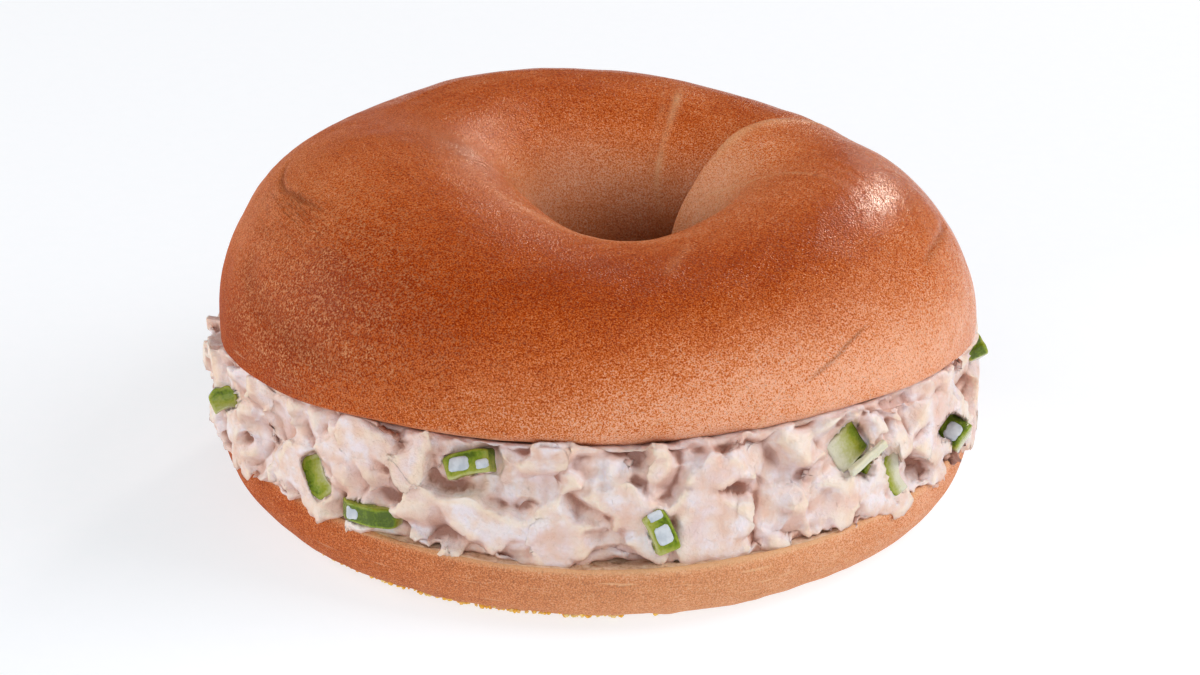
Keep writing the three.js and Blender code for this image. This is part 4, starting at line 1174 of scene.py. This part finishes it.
def averager(mesh):
    # gives a function by which every point takes the mean of its neighbours along the edges, times over
    count = len(mesh.vertices)
    edges = np.empty(len(mesh.edges) * 2, np.int32)
    mesh.edges.foreach_get("vertices", edges)
    one, other = edges.reshape(-1, 2).T
    neighbours = np.maximum(np.bincount(edges, minlength=count), 1)[:, None]

    def average(values, times=1):
        for _ in range(times):
            totals = [np.bincount(one, part[other], count) + np.bincount(other, part[one], count)
                      for part in values.reshape(count, -1).T]
            values = (np.stack(totals, -1) / neighbours).reshape(values.shape)
        return values

    return average


def pileParts(random):
    # the parts of the heap as points and faces, and the seeds of the tints: place, how far each one reaches
    lumpSpec, plateSpec, flakeSpec = chunk["lump"], chunk["plate"], chunk["flake"]
    angle, r, height, length, width, depth, lean, yaw = lumpTable()
    halves = np.stack([length, width, depth], -1) / 2 * lumpSpec["fullness"]
    lumps = brokenLumps(halves, random, lumpSpec["shape"])
    turns = np.array([outwardMatrix(a) @ turnMatrix(0, y, z) for a, y, z in zip(angle, yaw, lean)])
    centres = polar(r, angle, height)
    lumps = np.einsum("cij,cvj->cvi", turns, lumps) + centres[:, None]
    core, coreQuads = coreRing(chunk["coreColumns"], chunk["coreRows"])

    # flakes and shreds stick to the outer side of the lumps, and along the top of the core
    onLumps, onTop, atFoot = flakeSpec["onLumps"], flakeSpec["onTop"], flakeSpec["atFoot"]
    parent = random.integers(0, len(angle) - salad["holeLumps"], onLumps)
    outside = (lumps[..., 0] * np.cos(angle)[:, None] + lumps[..., 1] * np.sin(angle)[:, None])
    rank = np.argsort(-outside, 1)
    seat = lumps[parent, rank[parent, random.integers(0, lumps.shape[1] * 6 // 10, onLumps)]]
    column = random.integers(0, chunk["coreColumns"], onTop)
    highSeat = core[column, random.integers(chunk["coreRows"] // 2, chunk["coreRows"], onTop)]
    # along the foot they lie flat on the lower half's cut face
    bareAt, bareHalf = flakeSpec["footBare"]
    fromBare = np.abs(wrapDegrees(np.degrees(np.arctan2(core[:, 0, 1], core[:, 0, 0])) - bareAt))
    footSeat = core[random.choice(np.flatnonzero(fromBare > bareHalf), atFoot), 0]
    beyond = 1 + random.uniform(*flakeSpec["footOut"], atFoot)
    footSeat = footSeat * np.stack([beyond, beyond, 1 + 0 * beyond], -1) + (0, 0, 0.5)
    source = np.concatenate([centres[parent], highSeat * (0.94, 0.94, 1), footSeat - (0, 0, 2)])
    seat = np.concatenate([seat, highSeat, footSeat])
    flakes = brokenBits(flakeSpec, mix(seat, source, flakeSpec["sink"]), seat - source, random)

    # plates: flat broken pieces laid like shingles all over the belt, evenly but at random
    item = np.arange(plateSpec["count"])
    turn, share = evenly(item)
    plateAngle = turnRound * turn
    plateR = saladRadius(plateAngle) + mix(*plateSpec["out"], random.uniform(size=len(item)))
    plateR = plateR + plateSpec["topOut"] * ramp(share, 0.7, 0.3)
    plateCentre = polar(plateR, plateAngle, mix(*gapHeights(plateAngle, plateR, 0.5), share))
    plates = brokenBits(plateSpec, plateCentre, plateCentre * (1, 1, 0), random)

    points, quads, triangles = [core.reshape(-1, 3)], [coreQuads], []
    seeds, reach = [], []
    lumpFront = centres + lumpSpec["tintOut"] * polar(1, angle, 0 * angle)
    for spec, bits, middles in ((lumpSpec, lumps, lumpFront), (flakeSpec, flakes, seat),
                                (plateSpec, plates, plateCentre)):
        start = sum(len(part) for part in points)
        points.append(keepInGap(bits.reshape(-1, 3)))
        for kind, rows in zip((quads, triangles), shellFaces(*spec["shape"][:2], len(bits))):
            kind.append(rows + start)
        seeds.append(middles + shift)
        reach.append(np.full(len(bits), spec["tintReach"]))
    return [np.concatenate(part) for part in (points, quads, triangles, seeds, reach)]


def fuseParts(piece):
    # everything becomes one surface; swelling it and shrinking it back closes narrow pits
    for name, strength in (("swell", chunk["close"]), ("shrink", -chunk["close"])):
        fuse = piece.modifiers.new("fuse", "REMESH")
        fuse.mode, fuse.voxel_size = "VOXEL", chunk["voxel"] * mm
        step = piece.modifiers.new(name, "DISPLACE")
        step.strength, step.mid_level = strength * mm, 0
    applyModifiers(piece)
    faces = sum(len(p.vertices) - 2 for p in piece.data.polygons)
    print("fused", faces, "triangles")
    if faces > chunk["triangles"]:
        thin = piece.modifiers.new("thin", "DECIMATE")
        thin.ratio = chunk["triangles"] / faces
        applyModifiers(piece)


def makeSalad():
    print("salad")
    spec = chunk
    random = np.random.default_rng(8)
    points, quads, triangles, seeds, reach = pileParts(random)
    piece = meshPiece("chicken_salad", points + shift, quads, triangles)
    fuseParts(piece)
    mesh = piece.data
    average = averager(mesh)
    spots = readPoints(mesh, "co") / mm
    spots = mix(spots, average(spots), spec["soften"])
    beltward = smoothStep((np.hypot(*(spots - shift)[:, :2].T) - 45) / 4)
    flats = []
    for facet in spec["facets"]:
        spots, number = drawFlat(spots, normalsAt(mesh, spots), beltward > 0.5, random, *facet)
        flats.append(number)
    normals = normalsAt(mesh, spots)
    # the sides alone are broken up: what lies against the bread stays flat
    outwards = unit((spots - shift) * (1, 1, 0))
    beltward = average(beltward * smoothStep((normals * outwards).sum(-1) / 0.6), 4)
    raised = sum(brokenPlanes(spots, 60 + k, *layer) for k, layer in enumerate(spec["planeLayers"]))
    # dressing has filled the hollows by a share of what lies deeper than hollow
    raised = raised + spec["hollowFilled"] * np.maximum(spec["hollow"] - raised, 0)
    spots = spots + normals * (raised * beltward)[:, None]
    spots = mix(spots, average(spots), spec["soften"])
    fibreCell, fibreTall = spec["fibre"]
    raised = fibreTall * roughness(spots, fibreCell, 61, 2)
    spots = keepInGap(spots + normals * (raised * beltward)[:, None] - shift) + shift

    # ridge is how far a point stands out of the surface smoothed over about a millimetre; dressing fills the
    # pits by a share of what lies deeper than fillDepth under the surface smoothed over twice that
    smooth = average(spots, spec["ridgeReach"])
    stand = average(((spots - smooth) * normals).sum(-1), 2)
    deep = ((spots - average(smooth, spec["fillReach"])) * normals).sum(-1)
    spots = spots - normals * (np.minimum(deep + spec["fillDepth"], 0) * spec["fill"] * beltward)[:, None]
    spots = clearOfCelery(spots)
    # painted shadow: where it lies close against either half it is painted as deep, pink-brown
    x, y, z = (spots - shift).T
    around = np.arctan2(y, x)
    near, most, below = spec["contact"]
    contact = bump(np.maximum(ceiling(around, np.hypot(x, y)) - z, 0), near)
    contact = contact + below * bump(z - lowerTop(around) - 0.2, near)
    putAttribute(piece, "ridge", np.clip(0.5 + stand * spec["ridgeRange"] - most * contact, 0, 1))
    # each lump and flake keeps its own tint; a point takes that of the nearest one, and some of its flats'
    best, tint = np.full(len(spots), 1e9), np.zeros(len(spots))
    for seed, value, size in zip(seeds, random.uniform(0, 1, len(seeds)), reach):
        away = ((spots - seed) ** 2).sum(-1) / size ** 2
        tint = np.where(away < best, value, tint)
        best = np.minimum(away, best)
    tint = mix(tint, sum(flats) / len(flats), len(flats) * spec["facetTint"])
    putAttribute(piece, "tint", average(tint, 2))
    # painted light: what faces up is painted paler, a painted highlight, and what faces down darker
    # pink-brown, painted shade
    putAttribute(piece, "settled", 0.5 + 0.5 * average(normalsAt(mesh, spots)[:, 2], 2))
    mesh.polygons.foreach_set("use_smooth", np.ones(len(mesh.polygons), bool))
    chicken = makeMaterial("mayonnaiseDressedChicken", dressedChicken, "ridge", "tint", "settled")
    finishPiece(piece, "salad", ["salad_filling"], chicken)


makeSalad()

dab = {"shape": (11, 22, 0, 5.0, 0.05, 0.04), "half": 0.34, "sink": 0.2, "rise": 0.3}


def plainMayonnaise(add, place):
    # whipped egg and oil: smooth, wet and dense, bluish white
    cloud = add("TexNoise", {"Vector": place, "Scale": 1 / (1.2 * mm)})
    tone = add("ValToRGB", {"Fac": cloud}, stops=((0.35, "#bcc6d0"), (0.65, "#d6dee6")))
    relief = add("Bump", {"Height": cloud, "Distance": 0.2 * mm})
    return {"Base Color": tone, "Roughness": 0.3, "Normal": relief, "IOR": 1.45, "Subsurface Weight": 0.3,
            "Subsurface Radius": (1.0, 0.9, 0.8), "Subsurface Scale": 1 * mm}


def makeDabs():
    print("dabs")
    random = np.random.default_rng(5)
    shells = []
    for spec in celeryPieces:
        for x, y, width, tall in spec.get("pads", ()):
            pad = brokenLumps(np.array([[width / 2, tall / 2, dab["half"]]]), random, dab["shape"])
            bow = spec.get("bow", stalk["bow"]) * spec["size"][0]
            if spec.get("padsOnSkin"):
                arch = bow * (0.5 - (2 * x / spec["size"][0]) ** 2)
                pad = pad[..., [0, 2, 1]] * (1, 1, -1) + (x, spec["size"][1] / 2 + arch - dab["sink"], y)
            else:
                pad = pad + (x, y + bow * dab["rise"], spec["size"][2] / 2 - dab["sink"])
            shells.append(pad[0] @ celeryTurn(spec).T + spec["centre"])
    piece = meshPiece("dressing_dabs", np.concatenate(shells), *shellFaces(*dab["shape"][:2], len(shells)))
    finishPiece(piece, "salad", (), makeMaterial("whippedMayonnaise", plainMayonnaise))


cornmeal = {"count": 300, "size": (0.4, 1.0), "dense": (-140, -86), "denseShare": 0.75, "level": (0.1, 2.4),
            "shape": (3, 6, 4, 6.0, 0.1, 0), "flatness": (1, 0.75, 0.6), "sink": 0.05}


def coarseCornmeal(add, place):
    # coarsely ground yellow maize, scattered on the tray and baked on: hard, bright amber grains
    cloud = add("TexNoise", {"Vector": place, "Scale": 1 / (1.5 * mm)})
    tone = add("ValToRGB", {"Fac": cloud}, stops=((0.35, "#eba31c"), (0.5, "#f6c043"), (0.65, "#fbe09a")))
    return {"Base Color": tone, "Roughness": 0.5, "IOR": 1.5, "Subsurface Weight": 0.2,
            "Subsurface Radius": (1.0, 0.6, 0.2), "Subsurface Scale": 0.6 * mm}


def makeCornmeal():
    print("cornmeal")
    random = np.random.default_rng(12)
    count = cornmeal["count"]
    dense = random.uniform(size=count) < cornmeal["denseShare"]
    azimuth = np.where(dense, random.uniform(*cornmeal["dense"], count), random.uniform(-180, 180, count))
    angle = np.radians(azimuth)
    z = mix(*cornmeal["level"], random.uniform(size=count) ** 2)
    # on the lower half's side, which is a quarter ellipse, and in by what its broken foot has lost
    rim = lowerRadius(angle)
    foot = lower["baseRadius"] / lower["radius"] * rim
    swing = np.arccos(np.clip(1 - z / (lowerTop(angle) - bottomBread["rimRound"]), -1, 1))
    lost = bottomBread["footBreak"] * bump(z, bottomBread["footReach"])
    r = foot + (rim - foot) * np.sin(swing) - cornmeal["sink"] - lost
    size = mix(*cornmeal["size"], random.uniform(size=count) ** 1.5)
    grains = brokenLumps(size[:, None] * cornmeal["flatness"] / 2, random, cornmeal["shape"])
    leans, yaws = random.uniform(-3, 3, count), random.uniform(-1, 1, count)
    turns = np.array([outwardMatrix(a) @ turnMatrix(0, y, x) for a, x, y in zip(angle, leans, yaws)])
    points = np.einsum("cij,cvj->cvi", turns, grains) + (placeLower(r, z, angle) + shift)[:, None]
    points[..., 2] -= np.minimum(points[..., 2].min(1, keepdims=True), 0)
    piece = meshPiece("cornmeal_grains", points.reshape(-1, 3), *shellFaces(*cornmeal["shape"][:2], count))
    finishPiece(piece, "crust", (), makeMaterial("bakedCornmeal", coarseCornmeal))


makeDabs()
makeCornmeal()
